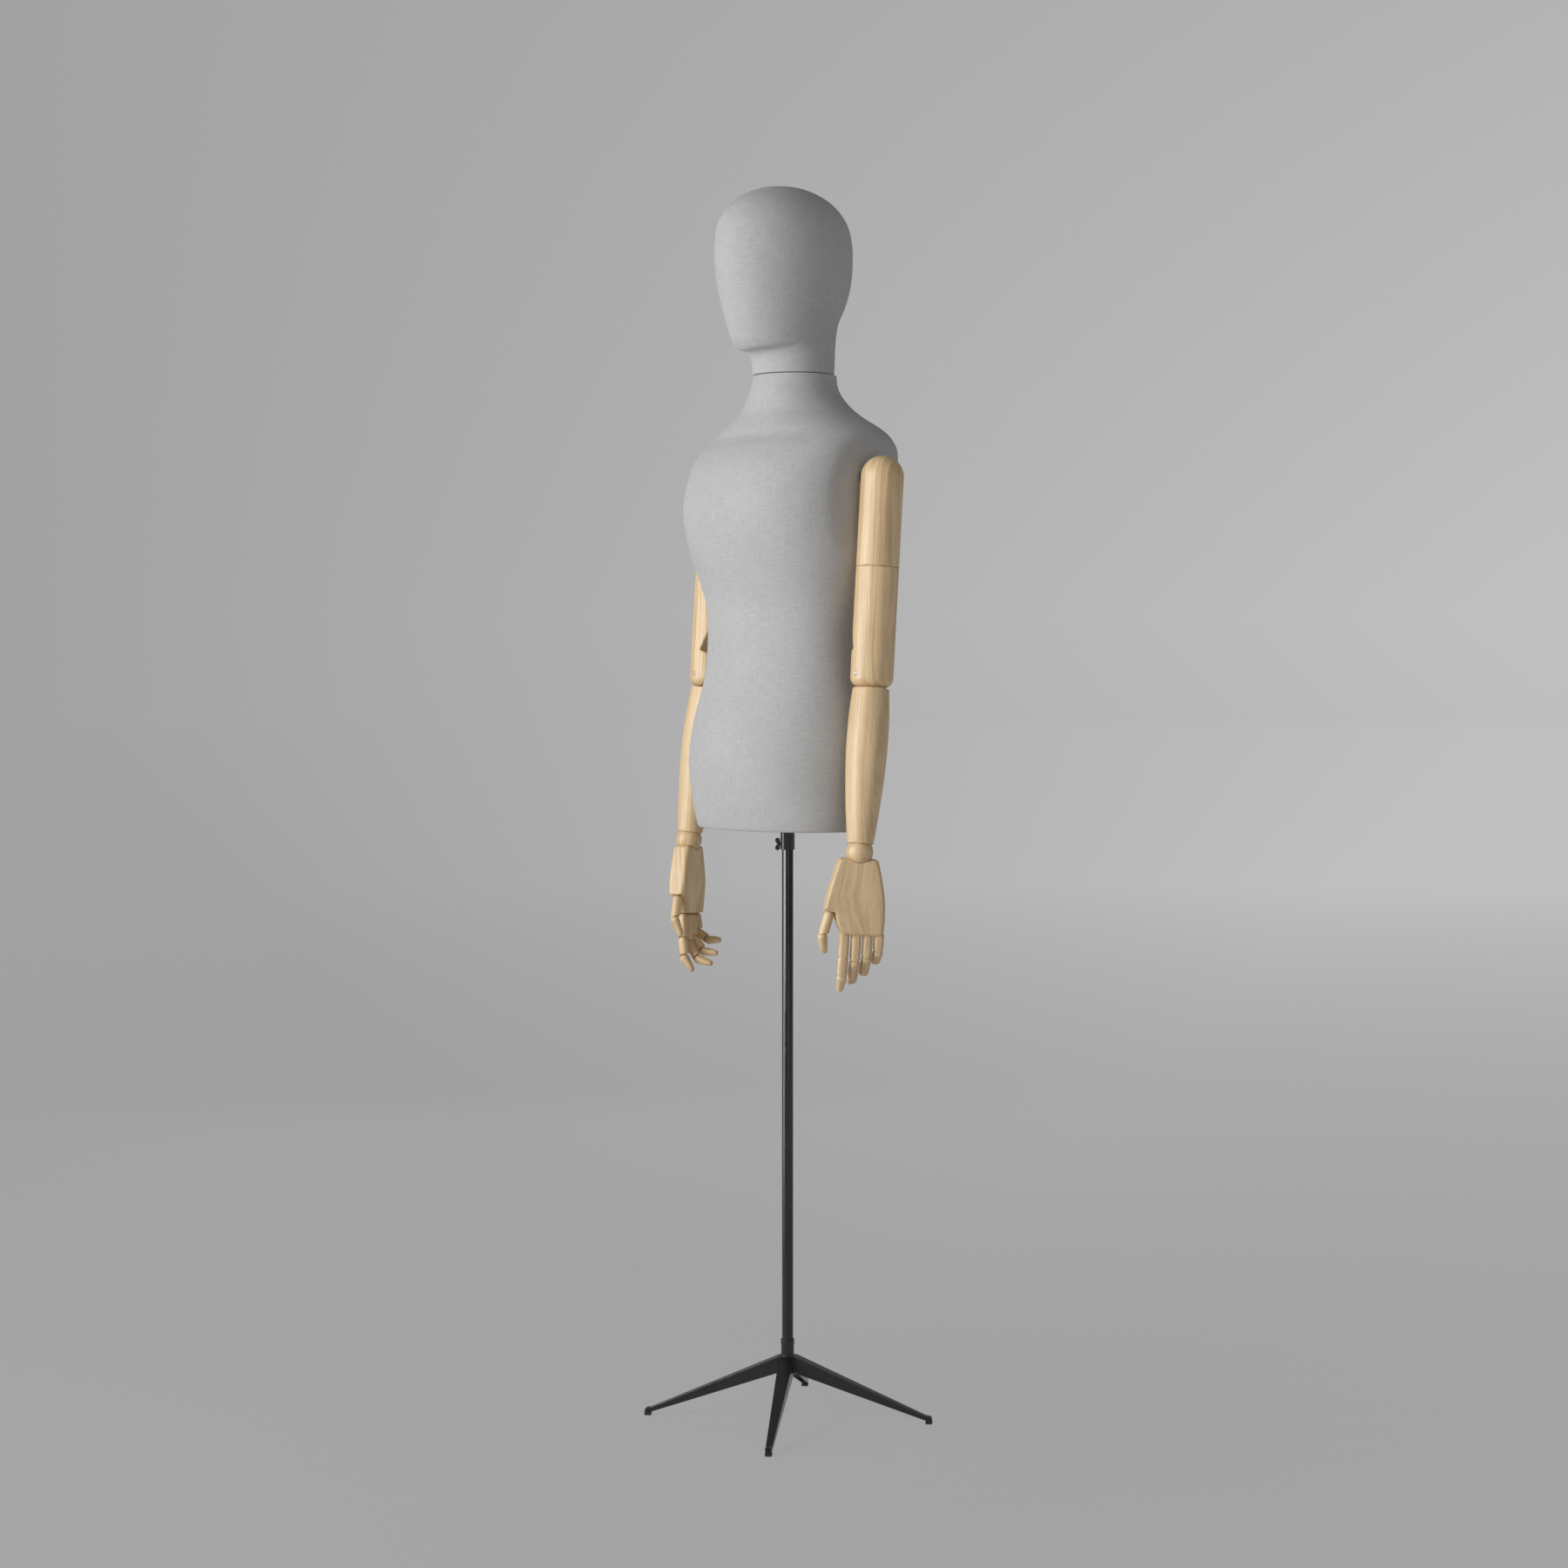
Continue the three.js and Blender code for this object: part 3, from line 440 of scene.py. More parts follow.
def add_piece(name, points, faces, body, nodes, place=Matrix.Identity(4), mirror=False,
              attributes=None):
    """Adds a piece from local points in millimetres, placed in the frame and riding on a body."""
    points = np.asarray(points, float)
    place = np.array(place)
    world = points @ place[:3, :3].T + place[:3, 3]
    if mirror:
        world[:, 0] *= -1
        faces = [face[::-1] for face in faces]
    mesh = bpy.data.meshes.new(name)
    mesh.from_pydata((world * MM).tolist(), [], [list(map(int, face)) for face in faces])
    for key, values in (attributes or {}).items():
        layer = mesh.attributes.new(key, "FLOAT_VECTOR", "POINT")
        layer.data.foreach_set("vector", np.asarray(values, np.float32).ravel())
    mesh.validate()
    mesh.polygons.foreach_set("use_smooth", [True] * len(mesh.polygons))
    mesh.set_sharp_from_angle(angle=SHARP_EDGE)
    slot = SLOT_OF[nodes[0]]
    mesh.materials.append(MATERIALS[slot])
    obj = bpy.data.objects.new(name, mesh)
    bpy.context.scene.collection.objects.link(obj)
    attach(obj, body)
    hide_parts(*nodes)
    return obj


def grid_faces(rings, sides, closed=False):
    """Quads between rings of points; closed joins the last ring to the first."""
    faces = []
    for r in range(rings if closed else rings - 1):
        low, high = r * sides, ((r + 1) % rings) * sides
        for i in range(sides):
            j = (i + 1) % sides
            faces.append((low + i, low + j, high + j, high + i))
    return faces


def filleted(profile, radius, steps):
    """A profile of points with its inner corners rounded."""
    points = [Vector(p) for p in profile]
    out = [points[0]]
    for before, corner, after in zip(points, points[1:], points[2:]):
        back, ahead = before - corner, after - corner
        reach = min(radius, 0.45 * back.length, 0.45 * ahead.length)
        start = corner + back.normalized() * reach
        end = corner + ahead.normalized() * reach
        for k in range(steps + 1):
            t = k / steps
            out.append(start.lerp(corner, t).lerp(corner.lerp(end, t), t))
    out.append(points[-1])
    return [tuple(p) for p in out]


def circle(sides):
    """Points evenly round the unit circle."""
    angles = 2 * np.pi * np.arange(sides) / sides
    return np.stack([np.cos(angles), np.sin(angles)], 1)


def lathe(profile, sides):
    """A turned solid along Z. The profile of (radius, height) starts and ends on the axis."""
    inner = profile[1:-1]
    ring = circle(sides)
    points = [np.column_stack([ring * r, np.full(sides, z)]) for r, z in inner]
    points.append([[0, 0, profile[0][1]], [0, 0, profile[-1][1]]])
    count = len(inner) * sides
    faces = grid_faces(len(inner), sides)
    last = count - sides
    for i in range(sides):
        j = (i + 1) % sides
        faces.append((count, j, i))
        faces.append((count + 1, last + i, last + j))
    return np.vstack(points), faces


def tube(profile, radius, steps, sides=64):
    """A turned ring along Z whose closed profile doesn't touch the axis, with rounded edges."""
    profile = filleted(profile + profile[:1], radius, steps)[1:]
    ring = circle(sides)
    points = [np.column_stack([ring * r, np.full(sides, z)]) for r, z in profile]
    return np.vstack(points), grid_faces(len(profile), sides, closed=True)


# ---------------------------------------------------------------- solids from distances


def rounded_max(a, b, radius):
    """The common part of two solids given by distances, with its edges rounded."""
    inside = np.minimum(np.maximum(a + radius, b + radius), 0)
    outside = np.hypot(np.maximum(a + radius, 0), np.maximum(b + radius, 0))
    return inside + outside - radius


def minus(a, b, radius):
    """The first solid without the second, with the cut's edges rounded."""
    return rounded_max(a, -b, radius)


def plus(a, b, radius):
    """Both solids together, with a fillet where they meet."""
    return -rounded_max(-a, -b, radius)


def slab(value, low, high):
    """Signed distance to the space between two parallel planes."""
    return np.maximum(low - value, value - high)


def polygon_distance(u, v, corners):
    """Signed distance from points to a closed polygon, negative inside."""
    nearest = np.full(u.shape, 1e18)
    inside = np.zeros(u.shape, bool)
    for (u0, v0), (u1, v1) in zip(corners, corners[1:] + corners[:1]):
        du, dv = u1 - u0, v1 - v0
        share = np.clip(((u - u0) * du + (v - v0) * dv) / (du * du + dv * dv), 0, 1)
        nearest = np.minimum(nearest, (u - u0 - share * du) ** 2 + (v - v0 - share * dv) ** 2)
        if dv:
            crosses = (v0 > v) != (v1 > v)
            inside ^= crosses & (u < u0 + (v - v0) * du / dv)
    return np.where(inside, -1, 1) * np.sqrt(nearest)


def arc(radius, start, end, steps):
    """Points along an arc round the origin, between two angles in degrees."""
    angles = np.radians(np.linspace(start, end, steps + 1))
    return [(radius * math.cos(a), radius * math.sin(a)) for a in angles]


def bezier(points, steps):
    """Points along a curve through its first and last control point, without the first."""
    out = []
    for k in range(1, steps + 1):
        level = [Vector(p) for p in points]
        while len(level) > 1:
            level = [a.lerp(b, k / steps) for a, b in zip(level, level[1:])]
        out.append(tuple(level[0]))
    return out


def skin(distance, low, high, step):
    """A closed mesh where distance(x, y, z) is nought, with one point to each cell it crosses."""
    low, high = np.asarray(low, float) - 1.5 * step, np.asarray(high, float) + 1.5 * step
    counts = np.ceil((high - low) / step).astype(int) + 1
    axes = [low[k] + step * np.arange(counts[k]) for k in range(3)]
    field = distance(*np.meshgrid(*axes, indexing="ij"))
    field = np.where(np.abs(field) < 1e-9, 1e-9, field)
    cells = tuple(counts - 1)
    total = np.zeros((*cells, 3))
    hits = np.zeros(cells)
    for axis in range(3):
        others = [k for k in range(3) if k != axis]
        for da in (0, 1):
            for db in (0, 1):
                start = [slice(0, c) for c in cells]
                start[others[0]] = slice(da, da + cells[others[0]])
                start[others[1]] = slice(db, db + cells[others[1]])
                end = list(start)
                end[axis] = slice(1, 1 + cells[axis])
                a, b = field[tuple(start)], field[tuple(end)]
                crossed = (a < 0) != (b < 0)
                share = np.where(crossed, a / np.where(crossed, a - b, 1), 0)
                offset = np.zeros((*cells, 3))
                offset[..., axis] = share
                offset[..., others[0]] = da
                offset[..., others[1]] = db
                total += offset * crossed[..., None]
                hits += crossed
    active = hits > 0
    number = np.full(cells, -1)
    number[active] = np.arange(active.sum())
    corner = np.stack(np.nonzero(active), 1)
    points = low + step * (corner + total[active] / hits[active][:, None])
    faces = []
    for axis in range(3):
        b, c = (axis + 1) % 3, (axis + 2) % 3
        here = [slice(1, n) for n in cells]
        here[axis] = slice(0, cells[axis])
        ahead = list(here)
        ahead[axis] = slice(1, cells[axis] + 1)
        start, end = field[tuple(here)] < 0, field[tuple(ahead)] < 0
        for leaving in (True, False):
            found = np.stack(np.nonzero((start != end) & (start == leaving)), 1)
            found[:, b] += 1
            found[:, c] += 1
            quad = []
            for back_b, back_c in ((1, 1), (0, 1), (0, 0), (1, 0)):
                at = found.copy()
                at[:, b] -= back_b
                at[:, c] -= back_c
                quad.append(number[tuple(at.T)])
            quad = np.stack(quad, 1)
            faces.append(quad if leaving else quad[:, ::-1])
    points = settle(distance, points, step)
    return points, np.vstack(faces)


def settle(distance, points, step):
    """Moves points onto the surface along its slope, by no more than half a cell."""
    small = 0.02
    nudges = small * np.eye(3)
    start = points.copy()
    for _ in range(3):
        value = distance(*points.T)
        rise = [distance(*(points + nudge).T) - distance(*(points - nudge).T) for nudge in nudges]
        slope = np.stack(rise, 1) / (2 * small)
        size = np.maximum((slope**2).sum(1), 0.05)
        points = points - slope * (value / size)[:, None]
        points = start + np.clip(points - start, -0.5 * step, 0.5 * step)
    return points


# ---------------------------------------------------------------------- torso and head


def smooth_sections(sections, spacing):
    """Sections run through a smooth curve against the length of the outline."""
    table = np.array(sections, float)
    gaps = np.hypot(np.diff(table[:, 0]), np.diff(table[:, 1]))
    gaps = np.hypot(gaps, np.diff(table[:, 2]) * 0.6)
    slopes = np.zeros_like(table)
    share = (table[1:] - table[:-1]) / gaps[:, None]
    weight = gaps[1:] / (gaps[1:] + gaps[:-1])
    slopes[1:-1] = share[:-1] * weight[:, None] + share[1:] * (1 - weight)[:, None]
    slopes[0], slopes[-1] = share[0], share[-1]
    out = []
    for k in range(len(table) - 1):
        count = max(2, round(gaps[k] / spacing))
        for t in np.arange(count) / count:
            h00, h10 = 2 * t**3 - 3 * t**2 + 1, t**3 - 2 * t**2 + t
            h01, h11 = -2 * t**3 + 3 * t**2, t**3 - t**2
            out.append(h00 * table[k] + h10 * gaps[k] * slopes[k]
                       + h01 * table[k + 1] + h11 * gaps[k] * slopes[k + 1])
    out.append(table[-1])
    return np.array(out)


def body_ring(section, sides, inset=0.0, plate=None):
    """A superellipse ring that starts at the middle of the back."""
    height, half_width, half_depth, forward, fullness = section
    angles = np.pi / 2 + 2 * np.pi * np.arange(sides) / sides
    across, along = np.cos(angles), np.sin(angles)
    x = half_width * np.sign(across) * np.abs(across) ** (2 / fullness)
    y = half_depth * np.sign(along) * np.abs(along) ** (2 / fullness)
    if plate is not None:
        x = flattened(x, height, plate)
    length = np.maximum(np.hypot(x / half_width**2, y / half_depth**2), 1e-9)
    x = x - inset * (x / half_width**2) / length
    y = y - inset * (y / half_depth**2) / length
    return np.column_stack([x, y - forward, np.full(sides, height)])


def flattened(x, height, plate):
    """Levels the sides of the chest to the armhole plates, with a rounded edge."""
    low = np.clip((PLATE_FOOT - height) / PLATE_FADE, 0, 1)
    limit = plate + PLATE_FLARE * low * low * (3 - 2 * low)
    size = np.abs(x)
    near = np.maximum(PLATE_BLEND - np.abs(size - limit), 0) / PLATE_BLEND
    return np.sign(x) * (np.minimum(size, limit) - near * near * PLATE_BLEND / 4)


def weave_of(rings, sides):
    """Millimetres round from the middle of the front, and up the cloth, for each point."""
    rings = np.asarray(rings).reshape(-1, sides, 3)
    step = np.linalg.norm(np.roll(rings, -1, 1) - rings, axis=2)
    round_ = np.concatenate([np.zeros((len(rings), 1)), np.cumsum(step, 1)[:, :-1]], 1)
    front = round_[:, sides // 2][:, None]
    up = np.linalg.norm(np.diff(rings, axis=0), axis=2)
    up = np.concatenate([np.zeros((1, sides)), np.cumsum(up, 0)], 0)
    level = up.mean(1)[:, None]
    return np.stack([round_ - front, (up + level) / 2, np.zeros_like(up)], 2)


def rounded_edge(section, start, size, sides, steps, inset_first):
    """Rings that round the edge of a cover at one of its end sections."""
    rings = []
    for a in np.radians(np.linspace(-90, 0, steps) if inset_first else np.linspace(0, 90, steps)):
        edge = section.copy()
        edge[0] = start + size * math.sin(a)
        rings.append(body_ring(edge, sides, size - size * math.cos(a)))
    return rings


def torso_cover():
    """The linen and the stiff wall under it: up the outside, over the neck, down the inside."""
    sides = 144
    outer = smooth_sections(TORSO_SECTIONS, 5.0)
    first, last = outer[0], outer[-1]
    rings = rounded_edge(first, TORSO_BOTTOM + HEM, HEM, sides, 5, True)[:-1]
    for section in outer:
        if TORSO_BOTTOM + HEM <= section[0] <= last[0] - LIP:
            rings.append(body_ring(section, sides, 0.0, SIDE_PLATE))
    rings += rounded_edge(last, last[0] - LIP, LIP, sides, 4, False)
    for section in outer[::-4]:
        if section[0] >= TORSO_BOTTOM + 1:
            rings.append(body_ring(section, sides, SHELL_WALL, SIDE_PLATE))
    section = first.copy()
    section[0] = TORSO_BOTTOM + 0.4
    rings.append(body_ring(section, sides, SHELL_WALL - 0.6))
    points = np.vstack(rings)
    weave = weave_of(points, sides).reshape(-1, 3)
    faces = grid_faces(len(rings), sides, closed=True)
    add_piece("torso_cover", points, faces, "torso", ["torso_shell"], attributes={"weave": weave})


def softened(sections, reach):
    """Sections averaged with their neighbours round the jaw, which is crisp only at the chin."""
    heights = sections[:, 0]
    out = sections.copy()
    for k, height in enumerate(heights):
        weight = np.exp(-(((heights - height) / reach) ** 2)) * np.gradient(heights)
        mean = (sections * weight[:, None]).sum(0) / weight.sum()
        share = math.exp(-(((height - JAW_HEIGHT) / (2.2 * reach)) ** 2))
        out[k, 1:] += share * (mean[1:] - sections[k, 1:])
    return out


def jaw_share(height):
    """How much of the jaw's slope a height takes: all at the jaw, none far from it."""
    fade = JAW_FADE_BELOW if height < JAW_HEIGHT else JAW_FADE_ABOVE
    away = min(1.0, abs(height - JAW_HEIGHT) / fade)
    return 1 - away * away * (3 - 2 * away)


def head_cover():
    """Up the bore for the neck peg's sides, out under the neck and up to the crown."""
    sides = 112
    outer = smooth_sections(HEAD_SECTIONS, 3.2)
    soft = softened(outer, JAW_SOFTNESS)
    bore_top, neck = NECK_SEAM + HEAD_BORE_DEPTH, outer[0][0] + LIP
    angles = np.pi / 2 + 2 * np.pi * np.arange(sides) / sides
    turn = np.stack([np.cos(angles), np.sin(angles)], 1)
    bore = turn * HEAD_BORE_RADIUS + [0, NECK_AXIS_BACK]
    rings = [np.column_stack([bore, np.full(sides, z)]) for z in (bore_top, NECK_SEAM + 0.8)]
    rings += rounded_edge(outer[0], neck, LIP, sides, 4, True)[:-1]
    beside = 0.5 - 0.5 * np.cos(np.clip((1 + turn[:, 1]) / 0.9, 0, 1) * np.pi)[:, None]
    for section, softer in zip(outer, soft):
        if section[0] >= neck:
            ring = body_ring(section, sides) * (1 - beside) + body_ring(softer, sides) * beside
            ring[:, 2] += jaw_share(section[0]) * JAW_SLOPE * (JAW_FRONT + ring[:, 1])
            rings.append(ring)
    points = np.vstack(rings)
    faces = grid_faces(len(rings), sides)
    top, bottom = len(points), len(points) + 1
    crown, bore_end = [0, rings[-1][:, 1].mean(), HEAD_TOP], [0, NECK_AXIS_BACK, bore_top]
    points = np.vstack([points, [crown, bore_end]])
    last = len(rings) * sides - sides
    for i in range(sides):
        j = (i + 1) % sides
        faces.append((top, last + i, last + j))
        faces.append((bottom, j, i))
    weave = np.zeros((len(points), 3))
    weave[:-2] = weave_of(points[:-2], sides).reshape(-1, 3)
    weave[-2] = weave[last : last + sides].mean(0)
    weave[:, 2] = 40.0
    add_piece("head_cover", points, faces, "head", ["head"], attributes={"weave": weave})


# ---------------------------------------------------------------------------- the stand


def stand():
    """The post's tube, and the collar that slides on it with a flange under the torso."""
    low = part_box("post")[0].z / MM
    profile = [(POST_RADIUS, low), (POST_RADIUS, POST_TOP), (POST_BORE, POST_TOP), (POST_BORE, low)]
    add_piece("post_tube", *tube(profile, 0.5, 2), "post", ["post"])

    bottom, top = (corner.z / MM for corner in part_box("clamp_collar"))
    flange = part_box("bottom_board")[1].z / MM + GAP
    above = flange + FLANGE_THICKNESS
    bore = POST_RADIUS + GAP
    profile = [
        (bore, bottom), (COLLAR_RADIUS, bottom), (COLLAR_RADIUS, flange), (FLANGE_RADIUS, flange),
        (FLANGE_RADIUS, above), (COLLAR_RADIUS, above), (COLLAR_RADIUS, top), (bore, top),
    ]
    add_piece("collar_sleeve", *tube(profile, 0.7, 3), "torso", ["clamp_collar"])


def wing_screw():
    """Two rounded ears on a web, on a short boss, with the shank running to the collar."""
    joint = JOINTS["wing_screw_turn"]
    axis = Vector(joint["axis"])
    heading = math.atan2(axis.y, axis.x)

    def distance(x, y, z):
        ears = np.hypot(x - EAR_REACH, np.abs(z) - EAR_SPREAD) - EAR_RADIUS
        web = np.maximum(slab(x, EAR_REACH - 2.4, EAR_REACH + 1.5), np.abs(z) - EAR_SPREAD)
        flat = rounded_max(plus(ears, web, 1.6), np.abs(y) - EAR_HALF_THICKNESS, 0.9)
        around = np.hypot(y, z)
        boss = rounded_max(around - 1.5 * SHANK_RADIUS, slab(x, SCREW_START + 0.3, EAR_REACH), 0.6)
        shank = rounded_max(around - SHANK_RADIUS, slab(x, SCREW_START, EAR_REACH), 0.3)
        return plus(plus(flat, boss, 1.2), shank, 0.3)

    tall, wide, end = EAR_SPREAD + EAR_RADIUS, 3.4, EAR_REACH + EAR_RADIUS
    shape = skin(distance, (SCREW_START, -wide, -tall), (end, wide, tall), SCREW_CELL)
    place = Matrix.Translation(Vector(joint["pos_m"]) / MM) @ Matrix.Rotation(heading, 4, "Z")
    add_piece("wing_screw_cast", *shape, "wing_screw", ["wing_screw"], place)


def hub():
    """The base block that the legs are welded to, with its round socket and the socket's rim."""
    low, high = (corner.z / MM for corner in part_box("base_hub"))

    def distance(x, y, z):
        across, along = (x + y) / math.sqrt(2), (y - x) / math.sqrt(2)
        block = rounded_max(np.abs(across) - HUB_HALF, np.abs(along) - HUB_HALF, 1.2)
        block = rounded_max(block, slab(z, low, HUB_TOP), 0.8)
        around = np.hypot(x, y)
        socket = rounded_max(around - SOCKET_RADIUS, slab(z, HUB_TOP - 4, high), 0.5)
        rim = rounded_max(around - SOCKET_RADIUS - 0.4, slab(z, high - SOCKET_RIM, high), 0.3)
        bore = np.maximum(around - POST_RADIUS - GAP, low + 4 - z)
        return minus(plus(block, np.minimum(socket, rim), 1.0), bore, 0.3)

    shape = skin(distance, (-18, -18, low), (18, 18, high), HUB_CELL)
    add_piece("hub_casting", *shape, "base", ["base_hub"])


def carried_over():
    """The CAD nodes that keep their shape get bevelled edges and their materials."""
    board = beech("beech_board", carved=False)
    for name, node in NODES.items():
        if node.hide_render or node.hide_get():
            continue
        node.data.materials.clear()
        slot = SLOT_OF[name]
        node.data.materials.append(board if slot == "wood" else MATERIALS[slot])
        weld = node.modifiers.new("weld", "WELD")
        weld.merge_threshold = WELD_REACH * MM
        bevel = node.modifiers.new("bevel", "BEVEL")
        bevel.width = BEVEL_WIDTH * MM
        bevel.segments = 2
        bevel.limit_method = "ANGLE"
        bevel.angle_limit = BEVEL_ANGLE
        bevel.harden_normals = False


# ----------------------------------------------------------------------- wooden pieces


def grain_of(points, seed):
    """Where each point lies in a plank: off the pith, with the grain along local Z."""
    draw = random.Random(seed)
    angle = math.radians(draw.uniform(-25, 25))
    away = draw.uniform(60, 110)
    x = points[:, 0] * math.cos(angle) - points[:, 1] * math.sin(angle) + away
    y = points[:, 0] * math.sin(angle) + points[:, 1] * math.cos(angle) + draw.uniform(-30, 30)
    return np.column_stack([x, y, points[:, 2] + draw.uniform(0, 4000)])


def wooden(name, shape, place, body, node):
    """Adds a left-hand wooden piece and its mirror image, each with its own grain."""
    for side in SIDES:
        grain = grain_of(shape[0], f"{name}_{side}")
        add_piece(f"{name}_{side}", *shape, f"{body}_{side}", [f"{node}_{side}"], place,
                  side == "right", {"grain": grain})


def turned_metal(name, shape, place, bodies, node):
    """Adds a left-hand turned piece and its mirror image."""
    for side, body in zip(SIDES, bodies):
        add_piece(f"{name}_{side}", *shape, body, [f"{node}_{side}"], place, side == "right")


def upper_arm_top():
    """The domed half of the upper arm, with its dowel and the bore for the shoulder peg."""
    seam = -ARM_SEAM_DROP + GAP
    dowel_end = seam - DOWEL_LENGTH

    def distance(x, y, z):
        across = np.hypot(x, y)
        dome = np.hypot(across, np.maximum(z, 0)) - ARM_RADIUS
        body = rounded_max(dome, seam - z, 0.6)
        dowel = rounded_max(across - DOWEL_RADIUS, dowel_end - z, 0.6)
        body = np.minimum(body, np.maximum(dowel, z))
        bore = np.maximum(np.hypot(y, z) - DOWEL_RADIUS - BORE_GAP, x + PEG_SETBACK - BORE_GAP)
        return minus(body, bore, 0.8)

    low = (-ARM_RADIUS, -ARM_RADIUS, dowel_end)
    return skin(distance, low, (ARM_RADIUS, ARM_RADIUS, ARM_RADIUS), ARM_CELL)


def upper_arm_bottom(length):
    """The elbow block: notched on the body's side, and forked round the forearm's tongue."""
    seam, end = -ARM_SEAM_DROP, -length - ELBOW_END_DROP
    floor = 180 - math.degrees(math.acos((ARM_RADIUS - NOTCH_DEPTH) / ELBOW_BLOCK_RADIUS))
    notch = arc(ELBOW_BLOCK_RADIUS, floor, 165, 8)
    notch += [(-FAR, 0), (-FAR, NOTCH_TOP), (-ARM_RADIUS, NOTCH_TOP)]
    reach = RIM_DROP - GAP
    pocket = arc(reach, 270, 180, 8) + [(-reach, 40), (-FAR, 40), (-FAR, -FAR), (0, -FAR)]
    reach = TONGUE_RADIUS + 0.5
    slot = arc(reach, 0, 90, 8) + [(-FAR, reach), (-FAR, -FAR), (reach + 4, -FAR)]

    def distance(x, y, z):
        radial = np.hypot(x, y) - ARM_RADIUS
        body = rounded_max(radial, end - z, ELBOW_CORNER)
        body = rounded_max(body, z - seam, 0.6)
        lifted = z + length
        for outline, half, rounding in ((pocket, POCKET_HALF, 0.7), (notch, FAR, 0.9),
                                        (slot, TONGUE_HALF + GAP, 0.7)):
            cut = np.maximum(polygon_distance(x, lifted, outline), np.abs(y) - half)
            body = minus(body, cut, rounding)
        body = minus(body, np.hypot(x, lifted) - PIN_RADIUS - 0.6, 0.4)
        hole = np.maximum(np.hypot(x, y) - DOWEL_RADIUS - BORE_GAP, seam - DOWEL_LENGTH - 2 - z)
        return minus(body, hole, 1.2)

    return skin(distance, (-ARM_RADIUS, -ARM_RADIUS, end), (ARM_RADIUS, ARM_RADIUS, seam), ARM_CELL)


def forearm(length, lean):
    """A turned forearm that leans from its tongue, hollowed at the wrist for the ball."""
    end, rim = -length + FOREARM_END_GAP, -RIM_DROP
    knots = [(rim + (end - rim) * share, radius, 0, 0, 0) for radius, share in FOREARM_TURNING]
    table = smooth_sections(knots, 4.0)
    heights = np.linspace(table[0, 0], table[-1, 0], 80)
    radii = np.interp(heights, table[:, 0], table[:, 1])
    cosine, sine = math.cos(lean), math.sin(lean)

    def distance(x, y, z):
        ahead, drop = y * cosine + z * sine, -y * sine + z * cosine
        body = np.hypot(x, ahead) - np.interp(drop, heights, radii)
        body = rounded_max(body, end - drop, 1.0)
        body = rounded_max(body, drop - rim, 1.2)
        ball = np.sqrt(x * x + ahead * ahead + (drop + length) ** 2) - BALL_RADIUS - GAP
        body = minus(body, ball, 0.6)
        tongue = np.where(z > 0, np.hypot(x, z), np.abs(x)) - TONGUE_RADIUS
        tongue = rounded_max(tongue, np.abs(y) - TONGUE_HALF, 0.8)
        tongue = np.maximum(tongue, rim - 6 - z)
        return minus(np.minimum(body, tongue), np.hypot(x, z) - PIN_RADIUS - GAP, 0.3)

    return skin(distance, (-30, -52, end - 4), (30, 30, TONGUE_RADIUS), ARM_CELL)


def elbow_pin():
    """A sleeve nut: a domed rim with a socket sunk into each end."""
    half, socket, deep = ARM_RADIUS - 0.2, 1.3, 2
    profile = [(0, deep - half), (socket, deep - half), (socket, -half), (PIN_RADIUS, -half),
               (PIN_RADIUS, half), (socket, half), (socket, half - deep), (0, half - deep)]
    points, faces = lathe(filleted(profile, 0.35, 2), 32)
    return np.column_stack([points[:, 0], -points[:, 2], points[:, 1]]), faces


def wrist_ball():
    """A plain turned ball."""
    profile = [(BALL_RADIUS * math.cos(a), BALL_RADIUS * math.sin(a))
               for a in np.radians(np.linspace(-90, 90, 33))]
    profile[0], profile[-1] = (0, -BALL_RADIUS), (0, BALL_RADIUS)
    return lathe(profile, 64)


def thumb_place():
    """Where the thumb's first hinge lies on the palm."""
    spread = Matrix.Rotation(math.radians(-THUMB_SPREAD), 4, "X")
    turn = Matrix.Rotation(math.radians(THUMB_TURN), 4, "Z")
    return Matrix.Translation(THUMB_BASE) @ spread @ turn


